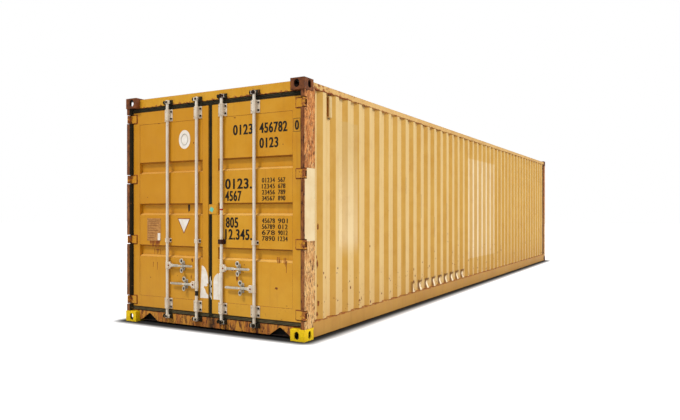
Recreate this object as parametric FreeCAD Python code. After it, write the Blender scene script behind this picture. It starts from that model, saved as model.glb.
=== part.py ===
"""Forty-foot dry freight container, 8 ft wide and 8 ft 6 in high, with two hinged doors.

Millimetres. The origin is the middle of the footprint, on the ground. Y runs along the
length with the doors at -Y, X runs across the doors and Z is up.
"""
import FreeCAD
import Part
import math
import os

V = FreeCAD.Vector

# ---- overall box, over the corner castings
LENGTH = 12192.0
WIDTH = 2438.0
HEIGHT = 2591.0

# ---- corner castings and their apertures
CASTING_L = 178.0
CASTING_W = 162.0
CASTING_H = 118.0
CASTING_FACE_PLATE = 28.5
CASTING_WALL = 16.0
CASTING_INNER_WALL = 12.0
APERTURE_FROM_SIDE = 89.5
APERTURE_FROM_END = 103.5
APERTURE_LONG = 124.5
APERTURE_WIDE = 63.5
BOTTOM_SIDE_HOLE = (51.0, 79.0)
TOP_SIDE_HOLE = (63.5, 79.5)
SIDE_HOLE_UP = 55.0

# ---- steel set back from the casting faces
SIDE_SETBACK = 4.0
POST_SETBACK = 10.0
FACE_SETBACK = 60.0

# ---- door end posts
POST_W = 44.0
POST_REACH = 36.0
POST_WALL = 6.0
POST_WEB_T = 6.0

# ---- door header and sill
PLATE_T = 6.0
SILL_BOTTOM = 22.0
SILL_STEP = 130.0
SILL_NOTCH_X = 898.0
SILL_NOTCH_W = 264.0
SILL_NOTCH_H = 84.0
SILL_NOTCH_R = 26.0
SILL_LAND = 50.0
HEADER_TOP_DOWN = 16.0
HEADER_STEP_DOWN = 115.0
HEADER_LIP_DOWN = 141.0

# ---- rails, floor and roof
TOP_RAIL = 60.0
TOP_RAIL_T = 4.0
TOP_RAIL_DOWN = 26.0
BOTTOM_RAIL_Z = 16.0
BOTTOM_RAIL_H = 156.0
BOTTOM_RAIL_T = 4.5
BOTTOM_RAIL_TOP_FLANGE = 48.0
BOTTOM_RAIL_LOW_FLANGE = 30.0
CROSS_H = 122.0
CROSS_FLANGE = 45.0
CROSS_T = 4.0
CROSS_PITCH = 300.0
FLOOR_T = 28.0
FLOOR_GAP = 6.0

# ---- corrugated sheets: flat out, slope, flat in, slope
SHEET = 2.0
WALL_FLAT_OUT = 72.0
WALL_SLOPE = 68.0
WALL_FLAT_IN = 70.0
WALL_DEPTH = 36.0
WALL_SETBACK = 6.0
FRONT_FLAT_OUT = 110.0
FRONT_SLOPE = 18.0
FRONT_FLAT_IN = 104.0
FRONT_DEPTH = 45.0
FRONT_SETBACK = 18.0
FRONT_POST_W = 89.0
ROOF_FLAT_OUT = 91.0
ROOF_SLOPE = 13.5
ROOF_FLAT_IN = 91.0
ROOF_DEPTH = 18.0
ROOF_BORDER = 95.0
ROOF_END_BORDER = 110.0

# ---- doors
DOOR_T = 47.0
DOOR_SETBACK = 54.0
DOOR_EDGE_GAP = 21.0
DOOR_CENTRE = 25.0
DOOR_BOTTOM = 178.0
DOOR_TOP_DOWN = 169.0
DOOR_STILE_OUT = 100.0
DOOR_STILE_IN = 82.0
DOOR_RAIL_TOP = 142.0
DOOR_RAIL_BOTTOM = 128.0
DOOR_WALL = 4.0
TROUGHS = 3
TROUGH_PITCH = 474.0
TROUGH_H = 132.0
TROUGH_DEPTH = 36.0
TROUGH_UPPER_SLOPE = 12.0
TROUGH_LOWER_SLOPE = 24.0
PANEL_SETBACK = 1.5
GASKET_T = 38.0
GASKET_SETBACK = 3.0
GASKET_CLEAR = 5.0
GASKET_OVER = 17.0

# ---- hinges
HINGES = 4
HINGE_INSET = 72.0
PIN_IN = 18.0
PIN_BACK = 22.0
PIN_R = 6.5
PIN_CLEAR = 0.3
BARREL_R = 13.0
BARREL_H = 50.0
BLADE_H = 90.0
BLADE_T = 10.0
BLADE_ON_DOOR = 56.0
BLADE_NECK = 20.0
LUG_GAP = 1.0
NOTCH_CLEAR = 8.0

# ---- lock rods, cams and keepers
ROD_R = 17.0
ROD_X = (172.0, 598.0)
ROD_BACK = 30.0
ROD_BOTTOM = 80.0
ROD_TOP_DOWN = 67.0
ROD_CLEAR = 0.5
CAM_R = 20.0
CAM_H = 34.0
CAM_LOBE = 40.0
CAM_LOBE_T = 20.0
KEEPER_HALF_W = 54.0
KEEPER_EAR_T = 8.0
KEEPER_BASE_T = 5.0
KEEPER_H = 56.0
KEEPER_REACH = 38.0
KEEPER_END_GAP = 7.0

# ---- guide brackets
GUIDE_PLATE_HALF_W = 58.0
GUIDE_PLATE_T = 5.0
GUIDE_R = 25.0
GUIDE_TOP_DOWN = (132.0, 1.0)
GUIDE_LOW_Z = (186.0, 304.0)
GUIDE_MID_Z = (932.0, 977.0)
GUIDE_MID_HALF_W = 40.0

# ---- handles and their retainers
HANDLE_HIGH_Z = 675.0
HANDLE_LOW_Z = 477.0
HANDLE_LEN = 372.0
HANDLE_T = 12.0
HANDLE_H = 26.0
HANDLE_GRIP_H = 18.0
HUB_R = 20.5
HUB_H = 76.0
HUB_CLEAR = 0.2
RETAINER_HIGH_OUT = 216.0
RETAINER_LOW_OUT = 165.0
RETAINER_HALF_W = 24.0
RETAINER_UP = 47.0
RETAINER_DOWN = 65.0
RETAINER_PLATE_T = 5.0
RETAINER_CLEAR = 5.0
EAR_T = 10.0
EAR_REACH = 40.0
SEAL_HOLE_R = 6.0

# ---- small plates
OVERLAP_H = 107.0
OVERLAP_X = 95.0
OVERLAP_T = 4.0
VENT_W = 56.0
VENT_H = 222.0
VENT_T = 30.0
VENT_WALL = 3.0
VENT_DOWN = 24.0

# ---- places worked out from the sizes
SIDE = WIDTH / 2
END = LENGTH / 2
STEEL_X = SIDE - SIDE_SETBACK
POST_IN_X = STEEL_X - POST_W
POST_Y = -END + POST_SETBACK
FACE_Y = -END + FACE_SETBACK
CASTING_IN_X = SIDE - CASTING_W
CASTING_IN_Y = END - CASTING_L
CASTING_LOW_Z = HEIGHT - CASTING_H
DOOR_Y = -END + DOOR_SETBACK
DOOR_BACK_Y = DOOR_Y + DOOR_T
DOOR_X = POST_IN_X - DOOR_EDGE_GAP
DOOR_TOP = HEIGHT - DOOR_TOP_DOWN
DOOR_MID_Z = (DOOR_BOTTOM + DOOR_TOP) / 2
HEADER_TOP = HEIGHT - HEADER_TOP_DOWN
HEADER_STEP = HEIGHT - HEADER_STEP_DOWN
HEADER_LIP = HEIGHT - HEADER_LIP_DOWN
PANEL_Y = DOOR_Y + PANEL_SETBACK
PIN_X = SIDE - PIN_IN
PIN_Y = -END + PIN_BACK
HINGE_RISE = (DOOR_TOP - DOOR_BOTTOM - 2 * HINGE_INSET) / (HINGES - 1)
HINGE_Z = [DOOR_BOTTOM + HINGE_INSET + HINGE_RISE * index for index in range(HINGES)]
ROD_Y = -END + ROD_BACK
ROD_TOP = HEIGHT - ROD_TOP_DOWN
RISER_Y = DOOR_BACK_Y + 5.0
FLOOR_TOP = BOTTOM_RAIL_Z + BOTTOM_RAIL_T + CROSS_H + FLOOR_T
FLOOR_Y = RISER_Y + SILL_LAND
RAIL_TOP_Z = BOTTOM_RAIL_Z + BOTTOM_RAIL_H
TOP_RAIL_TOP = HEIGHT - TOP_RAIL_DOWN
TOP_RAIL_LOW_Z = TOP_RAIL_TOP - TOP_RAIL
WALL_IN_X = SIDE - WALL_SETBACK - WALL_DEPTH
WALL_START = -CASTING_IN_Y + POST_REACH
FRONT_POST_IN_X = STEEL_X - FRONT_POST_W
FRONT_Y = END - POST_SETBACK
FRONT_WALL_Y = END - FRONT_SETBACK


# ---- shapes
def box(x0, x1, y0, y1, z0, z1):
    """Block between two corners, given in any order."""
    size = V(abs(x1 - x0), abs(y1 - y0), abs(z1 - z0))
    return Part.makeBox(size.x, size.y, size.z, V(min(x0, x1), min(y0, y1), min(z0, z1)))


def cylinder(radius, start, along):
    """Round bar from a start point along a vector."""
    return Part.makeCylinder(radius, along.Length, start, along)


def prism(points, along):
    """Solid swept from a closed outline of points."""
    wire = Part.makePolygon([*points, points[0]])
    return Part.Face(wire).extrude(along)


def fuse(shapes):
    """One solid from shapes that touch."""
    first, *others = shapes
    if not others:
        return first
    return first.fuse(others).removeSplitter()


def slot(centre, long_axis, through, length, width):
    """Round-ended cutter, centred on a point."""
    straight = (length - width) / 2
    ends = [centre - long_axis * straight, centre + long_axis * straight]
    cutters = [cylinder(width / 2, end - through / 2, through) for end in ends]
    if straight > 0.01:
        across = long_axis.cross(through)
        across.normalize()
        half = across * (width / 2)
        corners = [ends[0] - half, ends[1] - half, ends[1] + half, ends[0] + half]
        cutters.append(prism([corner - through / 2 for corner in corners], through))
    return fuse(cutters)


def wave_line(start, length, flat, slope, raised, depth):
    """Corrugation as (along, depth) points, starting and ending on a flat at no depth."""
    pitch = flat + slope + raised + slope
    waves = int((length - flat) // pitch)
    lead = (length - waves * pitch - flat) / 2
    points = [(start, 0.0)]
    for wave in range(waves):
        flat_end = start + lead + flat + wave * pitch
        points.append((flat_end, 0.0))
        points.append((flat_end + slope, depth))
        points.append((flat_end + slope + raised, depth))
        points.append((flat_end + slope + raised + slope, 0.0))
    points.append((start + length, 0.0))
    return points


def sheet(line, place, along):
    """Corrugated sheet; place turns (along, depth) into a point."""
    outer = [place(a, d) for a, d in line]
    inner = [place(a, d + SHEET) for a, d in reversed(line)]
    return prism(outer + inner, along)


def compound(solids):
    """Separate solids that share a node."""
    return Part.makeCompound(solids)


# ---- corner castings
def corner_casting(sx, sy, top):
    """Hollow casting with an aperture in its horizontal, end and side faces."""
    z0 = HEIGHT - CASTING_H if top else 0.0
    body = box(sx * CASTING_IN_X, sx * SIDE, sy * CASTING_IN_Y, sy * END, z0, z0 + CASTING_H)
    low = CASTING_INNER_WALL if top else CASTING_FACE_PLATE
    high = CASTING_FACE_PLATE if top else CASTING_INNER_WALL
    hollow = box(
        sx * (CASTING_IN_X + CASTING_INNER_WALL), sx * (SIDE - CASTING_WALL),
        sy * (CASTING_IN_Y + CASTING_INNER_WALL), sy * (END - CASTING_WALL),
        z0 + low, z0 + CASTING_H - high,
    )
    middle = V(sx * (SIDE - APERTURE_FROM_SIDE), sy * (END - APERTURE_FROM_END), z0 + CASTING_H / 2)
    hole_z = HEIGHT - SIDE_HOLE_UP if top else SIDE_HOLE_UP
    hole_w, hole_h = TOP_SIDE_HOLE if top else BOTTOM_SIDE_HOLE
    plate_mid = HEIGHT - CASTING_FACE_PLATE / 2 if top else CASTING_FACE_PLATE / 2
    lift = CASTING_FACE_PLATE + 2
    cuts = [
        hollow,
        slot(V(middle.x, middle.y, plate_mid), V(0, 1, 0), V(0, 0, lift), APERTURE_LONG, APERTURE_WIDE),
        slot(
            V(middle.x, sy * (END - CASTING_WALL / 2), hole_z), V(0, 0, 1),
            V(0, CASTING_WALL + 2, 0), hole_h, hole_w,
        ),
        slot(
            V(sx * (SIDE - CASTING_WALL / 2), middle.y, hole_z), V(0, 0, 1),
            V(CASTING_WALL + 2, 0, 0), hole_h, hole_w,
        ),
    ]
    return body.cut(cuts)


def castings(sy, top):
    """The two castings at one end and level."""
    return compound([corner_casting(sx, sy, top) for sx in (-1, 1)])


# ---- steel frame
def door_post(sx):
    """Two-cell post beside the doors, notched in front for each hinge."""
    rear_y = -CASTING_IN_Y + POST_REACH
    inner, outer = sx * POST_IN_X, sx * STEEL_X
    cell_in, cell_out = sx * (POST_IN_X + POST_WALL), sx * (STEEL_X - POST_WALL)
    web_y = FACE_Y + POST_WEB_T
    shell = fuse([
        box(inner, outer, POST_Y, -CASTING_IN_Y, CASTING_H, CASTING_LOW_Z),
        box(inner, outer, -CASTING_IN_Y, rear_y, RAIL_TOP_Z, TOP_RAIL_LOW_Z),
    ])
    cells = [
        box(cell_in, cell_out, POST_Y + POST_WALL, FACE_Y, CASTING_H - 1, CASTING_LOW_Z + 1),
        box(cell_in, cell_out, web_y, rear_y - POST_WALL, RAIL_TOP_Z + POST_WALL,
            CASTING_LOW_Z - POST_WALL),
    ]
    half = BLADE_H / 2 + NOTCH_CLEAR
    notches = [
        box(sx * (POST_IN_X - 1), sx * (STEEL_X + 1), POST_Y - 1, FACE_Y, z - half, z + half)
        for z in HINGE_Z
    ]
    return shell.cut(cells + notches)


def door_header():
    """Folded box over the doors, with a lip that they close against."""
    under = POST_IN_X
    between = CASTING_IN_X
    back_y = -CASTING_IN_Y
    return fuse([
        box(-between, between, FACE_Y, FACE_Y + PLATE_T, HEADER_STEP, HEADER_TOP),
        box(-between, between, FACE_Y, back_y, HEADER_TOP - PLATE_T, HEADER_TOP),
        box(-between, between, FACE_Y, RISER_Y + PLATE_T, HEADER_STEP, HEADER_STEP + PLATE_T),
        box(-between, between, RISER_Y, RISER_Y + PLATE_T, HEADER_LIP, HEADER_STEP + PLATE_T),
        box(-under, under, RISER_Y, RISER_Y + PLATE_T, HEADER_LIP, CASTING_LOW_Z),
        box(-under, under, RISER_Y, back_y, HEADER_LIP, HEADER_LIP + PLATE_T),
        box(-between, between, back_y - PLATE_T, back_y, HEADER_LIP, HEADER_TOP),
    ])


def sill_notch(sx):
    """Rounded inverted V in the face of the sill."""
    half = SILL_NOTCH_W / 2
    rise = math.atan2(SILL_NOTCH_H, half)
    low = SILL_BOTTOM - 1
    apex = SILL_BOTTOM + SILL_NOTCH_H
    round_z = apex - SILL_NOTCH_R
    touch_x = SILL_NOTCH_R * math.sin(rise)
    touch_z = round_z + SILL_NOTCH_R * math.cos(rise)
    mid = sx * SILL_NOTCH_X
    outline = [
        V(mid - half, FACE_Y - 1, low), V(mid + half, FACE_Y - 1, low),
        V(mid + touch_x, FACE_Y - 1, touch_z), V(mid - touch_x, FACE_Y - 1, touch_z),
    ]
    along = V(0, PLATE_T + 2, 0)
    return fuse([
        prism(outline, along),
        cylinder(SILL_NOTCH_R, V(mid, FACE_Y - 1, round_z), along),
    ])


def door_sill():
    """Folded plate under the doors, stepped up to the floor."""
    under = CASTING_IN_X
    over = POST_IN_X
    step_back = RISER_Y + PLATE_T
    beam = fuse([
        box(-under, under, FACE_Y, FACE_Y + PLATE_T, SILL_BOTTOM, SILL_STEP),
        box(-under, under, FACE_Y, step_back, SILL_BOTTOM, SILL_BOTTOM + PLATE_T),
        box(-over, over, FACE_Y, step_back, SILL_STEP - PLATE_T, SILL_STEP),
        box(-over, over, RISER_Y, step_back, SILL_STEP - PLATE_T, FLOOR_TOP),
        box(-over, over, RISER_Y, FLOOR_Y, FLOOR_TOP - PLATE_T, FLOOR_TOP),
        box(-under, under, step_back - PLATE_T, step_back, SILL_BOTTOM, SILL_STEP),
    ])
    return beam.cut([sill_notch(-1), sill_notch(1)])


def tube(x0, x1, y0, y1, z0, z1, wall, axis):
    """Rectangular tube, open at both ends of one axis."""
    low = [min(x0, x1), min(y0, y1), min(z0, z1)]
    high = [max(x0, x1), max(y0, y1), max(z0, z1)]
    inner = []
    for index in range(3):
        inset = -1 if index == axis else wall
        inner += [low[index] + inset, high[index] - inset]
    return box(x0, x1, y0, y1, z0, z1).cut(box(*inner))


def front_posts():
    """Hollow posts at the closed end."""
    return compound([
        tube(sx * FRONT_POST_IN_X, sx * STEEL_X, CASTING_IN_Y, FRONT_Y,
             CASTING_H, CASTING_LOW_Z, POST_WALL, 2)
        for sx in (-1, 1)
    ])


def front_beam(z0, z1):
    """Hollow cross beam between the castings of the closed end."""
    return tube(-CASTING_IN_X, CASTING_IN_X, FRONT_Y - TOP_RAIL, FRONT_Y, z0, z1, TOP_RAIL_T, 0)


def front_header():
    """Top beam of the closed end, with the plate that closes the roof behind it."""
    beam = front_beam(CASTING_LOW_Z, HEADER_TOP)
    plate = box(-CASTING_IN_X, CASTING_IN_X, CASTING_IN_Y, FRONT_Y - TOP_RAIL,
                TOP_RAIL_TOP, TOP_RAIL_TOP + TOP_RAIL_T)
    return fuse([beam, plate])


def front_wall():
    """Corrugated end wall between the front posts."""
    line = wave_line(-FRONT_POST_IN_X, 2 * FRONT_POST_IN_X, FRONT_FLAT_OUT, FRONT_SLOPE,
                     FRONT_FLAT_IN, FRONT_DEPTH)
    rise = V(0, 0, CASTING_LOW_Z - CASTING_H)
    return sheet(line, lambda a, d: V(a, FRONT_WALL_Y - d, CASTING_H), rise)


def top_rails():
    """Square tubes along the top of the side walls."""
    return compound([
        tube(sx * (STEEL_X - TOP_RAIL), sx * STEEL_X, -CASTING_IN_Y, CASTING_IN_Y,
             TOP_RAIL_LOW_Z, TOP_RAIL_TOP, TOP_RAIL_T, 1)
        for sx in (-1, 1)
    ])


def bottom_rail(sx):
    """Channel along the bottom of one side wall, open inwards."""
    ends = (-CASTING_IN_Y, CASTING_IN_Y)
    low, high = BOTTOM_RAIL_Z, RAIL_TOP_Z
    return fuse([
        box(sx * (STEEL_X - BOTTOM_RAIL_T), sx * STEEL_X, *ends, low, high),
        box(sx * (STEEL_X - BOTTOM_RAIL_TOP_FLANGE), sx * STEEL_X, *ends, high - BOTTOM_RAIL_T, high),
        box(sx * (STEEL_X - BOTTOM_RAIL_LOW_FLANGE), sx * STEEL_X, *ends, low, low + BOTTOM_RAIL_T),
    ])


def side_wall_line():
    """Corrugation of a side wall, with an inner flat against each post."""
    length = CASTING_IN_Y - WALL_START
    return wave_line(WALL_START, length, WALL_FLAT_IN, WALL_SLOPE, WALL_FLAT_OUT, -WALL_DEPTH)


def side_wall(sx):
    """Corrugated side sheet between the posts and the rails."""
    rise = V(0, 0, TOP_RAIL_LOW_Z - RAIL_TOP_Z)
    return sheet(side_wall_line(), lambda a, d: V(sx * (WALL_IN_X - d), a, RAIL_TOP_Z), rise)


def roof():
    """Flat-edged roof sheet with raised ribs across it, closed at their ends."""
    half = STEEL_X - TOP_RAIL / 2
    rib_half = half - ROOF_BORDER
    ends = CASTING_IN_Y
    rib_start = -ends + ROOF_END_BORDER
    line = wave_line(rib_start, -2 * rib_start, ROOF_FLAT_IN, ROOF_SLOPE, ROOF_FLAT_OUT, -ROOF_DEPTH)
    low = TOP_RAIL_TOP

    def place(x):
        return lambda a, d: V(x, a, low + SHEET - d)

    pieces = [sheet(line, place(-rib_half), V(2 * rib_half, 0, 0))]
    caps = [V(0, a, low + SHEET - d) for a, d in line]
    caps += [V(0, -rib_start, low), V(0, rib_start, low)]
    for x in (-rib_half - SHEET, rib_half):
        pieces.append(prism([point + V(x, 0, 0) for point in caps], V(SHEET, 0, 0)))
    for sx in (-1, 1):
        pieces.append(box(sx * (rib_half + SHEET), sx * half, rib_start, -rib_start, low, low + SHEET))
    for sy in (-1, 1):
        pieces.append(box(-half, half, -sy * rib_start, sy * ends, low, low + SHEET))
    return fuse(pieces)


def floor():
    """Plywood floor between the bottom rails, cut back round the front posts."""
    half = STEEL_X - BOTTOM_RAIL_TOP_FLANGE - 2.0
    low = FLOOR_TOP - FLOOR_T
    end = FRONT_WALL_Y - FRONT_DEPTH - SHEET - FLOOR_GAP
    deck = box(-half, half, FLOOR_Y, end, low, FLOOR_TOP)
    corners = [
        box(sx * (FRONT_POST_IN_X - FLOOR_GAP), sx * (half + 1), CASTING_IN_Y - FLOOR_GAP, end + 1,
            low - 1, FLOOR_TOP + 1)
        for sx in (-1, 1)
    ]
    return deck.cut(corners)


def cross_member(y):
    """Channel across the bottom, under the floor."""
    half = STEEL_X - BOTTOM_RAIL_T
    low = BOTTOM_RAIL_Z + BOTTOM_RAIL_T
    high = low + CROSS_H
    return fuse([
        box(-half, half, y, y + CROSS_T, low, high),
        box(-half, half, y, y + CROSS_FLANGE, low, low + CROSS_T),
        box(-half, half, y, y + CROSS_FLANGE, high - CROSS_T, high),
    ])


def cross_members():
    """All the floor channels, evenly spaced between the castings."""
    run = 2 * CASTING_IN_Y - CROSS_FLANGE - 2 * FLOOR_GAP
    count = round(run / CROSS_PITCH)
    start = -CASTING_IN_Y + FLOOR_GAP
    return compound([cross_member(start + run * index / count) for index in range(count + 1)])


def side_vent(sx):
    """Hollow vent cover standing in the first full trough of a side wall, near its top."""
    trough = side_wall_line()[4:6]
    middle = sum(along for along, _ in trough) / 2
    ends = (middle - VENT_W / 2, middle + VENT_W / 2)
    high = TOP_RAIL_LOW_Z - VENT_DOWN
    low = high - VENT_H
    cover = box(sx * WALL_IN_X, sx * (WALL_IN_X + VENT_T), *ends, low, high)
    hollow = box(
        sx * (WALL_IN_X - 1), sx * (WALL_IN_X + VENT_T - VENT_WALL),
        ends[0] + VENT_WALL, ends[1] - VENT_WALL, low + VENT_WALL, high - VENT_WALL,
    )
    return cover.cut(hollow)


# ---- hinges
def hinge_post_side(sx, z):
    """Two lugs welded to the post and the pin between them."""
    half = BLADE_H / 2
    near = BARREL_H / 2 + LUG_GAP
    lugs = [
        fuse([
            cylinder(BARREL_R, V(sx * PIN_X, PIN_Y, z + side * near), V(0, 0, side * (half - near))),
            box(sx * (PIN_X - BARREL_R), sx * (PIN_X + BARREL_R), PIN_Y, FACE_Y,
                z + side * near, z + side * half),
        ])
        for side in (-1, 1)
    ]
    pin = cylinder(PIN_R, V(sx * PIN_X, PIN_Y, z - half), V(0, 0, BLADE_H))
    return fuse([*lugs, pin])


def hinge_lugs():
    """The fixed half of all eight hinges."""
    return compound([hinge_post_side(sx, z) for sx in (-1, 1) for z in HINGE_Z])


def hinge_blade(sx, z):
    """Blade lying on the door, necked down to a barrel on the pin."""
    half = BLADE_H / 2
    barrel_half = BARREL_H / 2
    front = DOOR_Y - BLADE_T
    plate = box(sx * (DOOR_X - BLADE_ON_DOOR), sx * (PIN_X - BLADE_NECK), front, DOOR_Y, z - half, z + half)
    neck = box(sx * (PIN_X - BLADE_NECK - 4), sx * (PIN_X - PIN_R), PIN_Y, DOOR_Y,
               z - barrel_half, z + barrel_half)
    barrel = cylinder(BARREL_R, V(sx * PIN_X, PIN_Y, z - barrel_half), V(0, 0, BARREL_H))
    bore = cylinder(PIN_R + PIN_CLEAR, V(sx * PIN_X, PIN_Y, z - half), V(0, 0, BLADE_H))
    return fuse([plate, neck, barrel]).cut(bore)


def hinge_blades(sx):
    """The four blades of one door."""
    return compound([hinge_blade(sx, z) for z in HINGE_Z])


# ---- doors
def door_frame(sx):
    """Hollow stiles with open channels above and below."""
    outer = box(sx * DOOR_CENTRE, sx * DOOR_X, DOOR_Y, DOOR_BACK_Y, DOOR_BOTTOM, DOOR_TOP)
    x_in, x_out = DOOR_CENTRE + DOOR_STILE_IN, DOOR_X - DOOR_STILE_OUT
    z_low, z_high = DOOR_BOTTOM + DOOR_RAIL_BOTTOM, DOOR_TOP - DOOR_RAIL_TOP
    window = box(sx * x_in, sx * x_out, DOOR_Y - 1, DOOR_BACK_Y + 1, z_low, z_high)
    front, back = DOOR_Y + DOOR_WALL, DOOR_BACK_Y - DOOR_WALL
    low, high = DOOR_BOTTOM + DOOR_WALL, DOOR_TOP - DOOR_WALL
    cells = [
        box(sx * (DOOR_CENTRE + DOOR_WALL), sx * (x_in - DOOR_WALL), front, back, low, high),
        box(sx * (x_out + DOOR_WALL), sx * (DOOR_X - DOOR_WALL), front, back, low, high),
        box(sx * x_in, sx * x_out, front, back, low, z_low + 1),
        box(sx * x_in, sx * x_out, front, back, z_high - 1, high),
    ]
    return outer.cut([window, *cells])


def door_panel(sx):
    """Sheet between the stiles, pressed in along three level troughs."""
    line = [(DOOR_BOTTOM + DOOR_RAIL_BOTTOM, 0.0)]
    for index in range(TROUGHS):
        middle = DOOR_MID_Z + TROUGH_PITCH * (index - (TROUGHS - 1) / 2)
        low, high = middle - TROUGH_H / 2, middle + TROUGH_H / 2
        line.append((low, 0.0))
        line.append((low + TROUGH_LOWER_SLOPE, TROUGH_DEPTH))
        line.append((high - TROUGH_UPPER_SLOPE, TROUGH_DEPTH))
        line.append((high, 0.0))
    line.append((DOOR_TOP - DOOR_RAIL_TOP, 0.0))
    x_in = sx * (DOOR_CENTRE + DOOR_STILE_IN)
    x_out = sx * (DOOR_X - DOOR_STILE_OUT)
    return sheet(line, lambda a, d: V(x_in, PANEL_Y + d, a), V(x_out - x_in, 0, 0))


def door_gasket(sx):
    """Rubber seal round the door; the right one also covers the middle joint."""
    front = DOOR_Y + GASKET_SETBACK
    depth = (front, front + GASKET_T)
    edge = POST_IN_X - GASKET_CLEAR
    low, high = SILL_STEP + GASKET_CLEAR, HEADER_STEP - GASKET_CLEAR
    centre = -GASKET_OVER if sx > 0 else DOOR_CENTRE
    bands = [
        box(sx * centre, sx * edge, *depth, low, DOOR_BOTTOM),
        box(sx * centre, sx * edge, *depth, DOOR_TOP, high),
        box(sx * DOOR_X, sx * edge, *depth, DOOR_BOTTOM, DOOR_TOP),
    ]
    if sx > 0:
        bands.append(box(-GASKET_OVER, DOOR_CENTRE, *depth, DOOR_BOTTOM, DOOR_TOP))
    return fuse(bands)


def overlap_plate():
    """Plate on the right door that laps over the middle joint."""
    half = OVERLAP_H / 2
    return box(-GASKET_OVER, OVERLAP_X, DOOR_Y - OVERLAP_T, DOOR_Y, DOOR_MID_Z - half, DOOR_MID_Z + half)


# ---- lock rods
def guide(x, span, half_w, plate_back):
    """Guide bracket bolted to the door round a rod."""
    low, high = span
    rise = V(0, 0, high - low)
    plate_front = DOOR_Y - GUIDE_PLATE_T
    plate = box(x - half_w, x + half_w, plate_front, plate_back, low, high)
    housing = cylinder(GUIDE_R, V(x, ROD_Y, low), rise)
    cheeks = box(x - GUIDE_R, x + GUIDE_R, ROD_Y, plate_front, low, high)
    bore = cylinder(ROD_R + ROD_CLEAR, V(x, ROD_Y, low - 1), rise + V(0, 0, 2))
    behind = box(x - half_w, x + half_w, plate_back, ROD_Y + 2 * GUIDE_R, low - 1, high + 1)
    return fuse([plate, housing, cheeks]).cut([bore, behind])


def rod_guides(sx):
    """Top, middle and bottom guides of both rods on one door."""
    top_z = [DOOR_TOP - down for down in GUIDE_TOP_DOWN]
    guides = []
    for x in ROD_X:
        guides.append(guide(sx * x, top_z, GUIDE_PLATE_HALF_W, DOOR_Y))
        guides.append(guide(sx * x, GUIDE_MID_Z, GUIDE_MID_HALF_W, PANEL_Y))
        guides.append(guide(sx * x, GUIDE_LOW_Z, GUIDE_PLATE_HALF_W, DOOR_Y))
    return compound(guides)


def cam(x, z, side):
    """Cam at a rod's end, with its lobe on the handle's side."""
    lobe = box(x, x + side * CAM_LOBE, ROD_Y - CAM_LOBE_T / 2, ROD_Y + CAM_LOBE_T / 2, z, z + CAM_H)
    return fuse([cylinder(CAM_R, V(x, ROD_Y, z), V(0, 0, CAM_H)), lobe])


def cam_levels():
    """Bottom of the lower cam and of the upper cam."""
    return ROD_BOTTOM + 6.0, ROD_TOP - 6.0 - CAM_H


def lock_rod(x, side):
    """Rod with a cam at each end."""
    rod = cylinder(ROD_R, V(x, ROD_Y, ROD_BOTTOM), V(0, 0, ROD_TOP - ROD_BOTTOM))
    return fuse([rod, *[cam(x, z, side) for z in cam_levels()]])


def keeper(x, cam_z):
    """Open-fronted keeper with an ear on each side of a cam."""
    middle = cam_z + CAM_H / 2
    low, high = middle - KEEPER_H / 2, middle + KEEPER_H / 2
    base_front = FACE_Y - KEEPER_BASE_T
    ears = [
        box(x + side * (KEEPER_HALF_W - KEEPER_EAR_T), x + side * KEEPER_HALF_W,
            FACE_Y - KEEPER_REACH, base_front, low + KEEPER_END_GAP, high - KEEPER_END_GAP)
        for side in (-1, 1)
    ]
    base = box(x - KEEPER_HALF_W, x + KEEPER_HALF_W, base_front, FACE_Y, low, high)
    return fuse([base, *ears])


def cam_keepers():
    """Keepers on the header and the sill for all four rods."""
    places = [sx * x for sx in (-1, 1) for x in ROD_X]
    return compound([keeper(x, z) for x in places for z in cam_levels()])


def handle(x, z, side):
    """Hub clamped round the rod, with a flat bar that narrows to a round-ended grip."""
    hub = cylinder(HUB_R, V(x, ROD_Y, z - HUB_H / 2), V(0, 0, HUB_H))
    front = ROD_Y - HANDLE_T - 2.0
    grip = HANDLE_GRIP_H / 2
    shoulder = HANDLE_H / 2
    reach = HANDLE_LEN - grip
    outline = [
        V(x, front, z - shoulder), V(x + side * reach * 0.4, front, z - shoulder),
        V(x + side * reach * 0.5, front, z - grip), V(x + side * reach, front, z - grip),
        V(x + side * reach, front, z + grip), V(x + side * reach * 0.5, front, z + grip),
        V(x + side * reach * 0.4, front, z + shoulder), V(x, front, z + shoulder),
    ]
    through = V(0, HANDLE_T, 0)
    bar = fuse([prism(outline, through), cylinder(grip, V(x + side * reach, front, z), through)])
    bore = cylinder(ROD_R + HUB_CLEAR, V(x, ROD_Y, z - HUB_H), V(0, 0, 2 * HUB_H))
    return fuse([hub, bar]).cut(bore)


def retainer(rod_x, z, side):
    """Plate with an ear above and a seat below the handle, each holed for a seal."""
    x = rod_x + side * (RETAINER_HIGH_OUT if z == HANDLE_HIGH_Z else RETAINER_LOW_OUT)
    plate_front = DOOR_Y - RETAINER_PLATE_T
    clear = HANDLE_H / 2 + RETAINER_CLEAR
    plate = box(x - RETAINER_HALF_W, x + RETAINER_HALF_W, plate_front, PANEL_Y,
                z - RETAINER_DOWN, z + RETAINER_UP)
    ears = [
        box(x - EAR_T / 2, x + EAR_T / 2, DOOR_Y - EAR_REACH, plate_front, z + clear, z + RETAINER_UP),
        box(x - EAR_T / 2, x + EAR_T / 2, DOOR_Y - EAR_REACH, plate_front, z - RETAINER_DOWN, z - clear),
    ]
    hole_y = DOOR_Y - EAR_REACH + 2 * SEAL_HOLE_R
    across = V(2 * RETAINER_HALF_W, 0, 0)
    holes = [
        cylinder(SEAL_HOLE_R, V(x - RETAINER_HALF_W, hole_y, z + (clear + RETAINER_UP) / 2), across),
        cylinder(SEAL_HOLE_R, V(x - RETAINER_HALF_W, hole_y, z - RETAINER_DOWN + 2 * SEAL_HOLE_R), across),
    ]
    return fuse([plate, *ears]).cut(holes)


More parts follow.
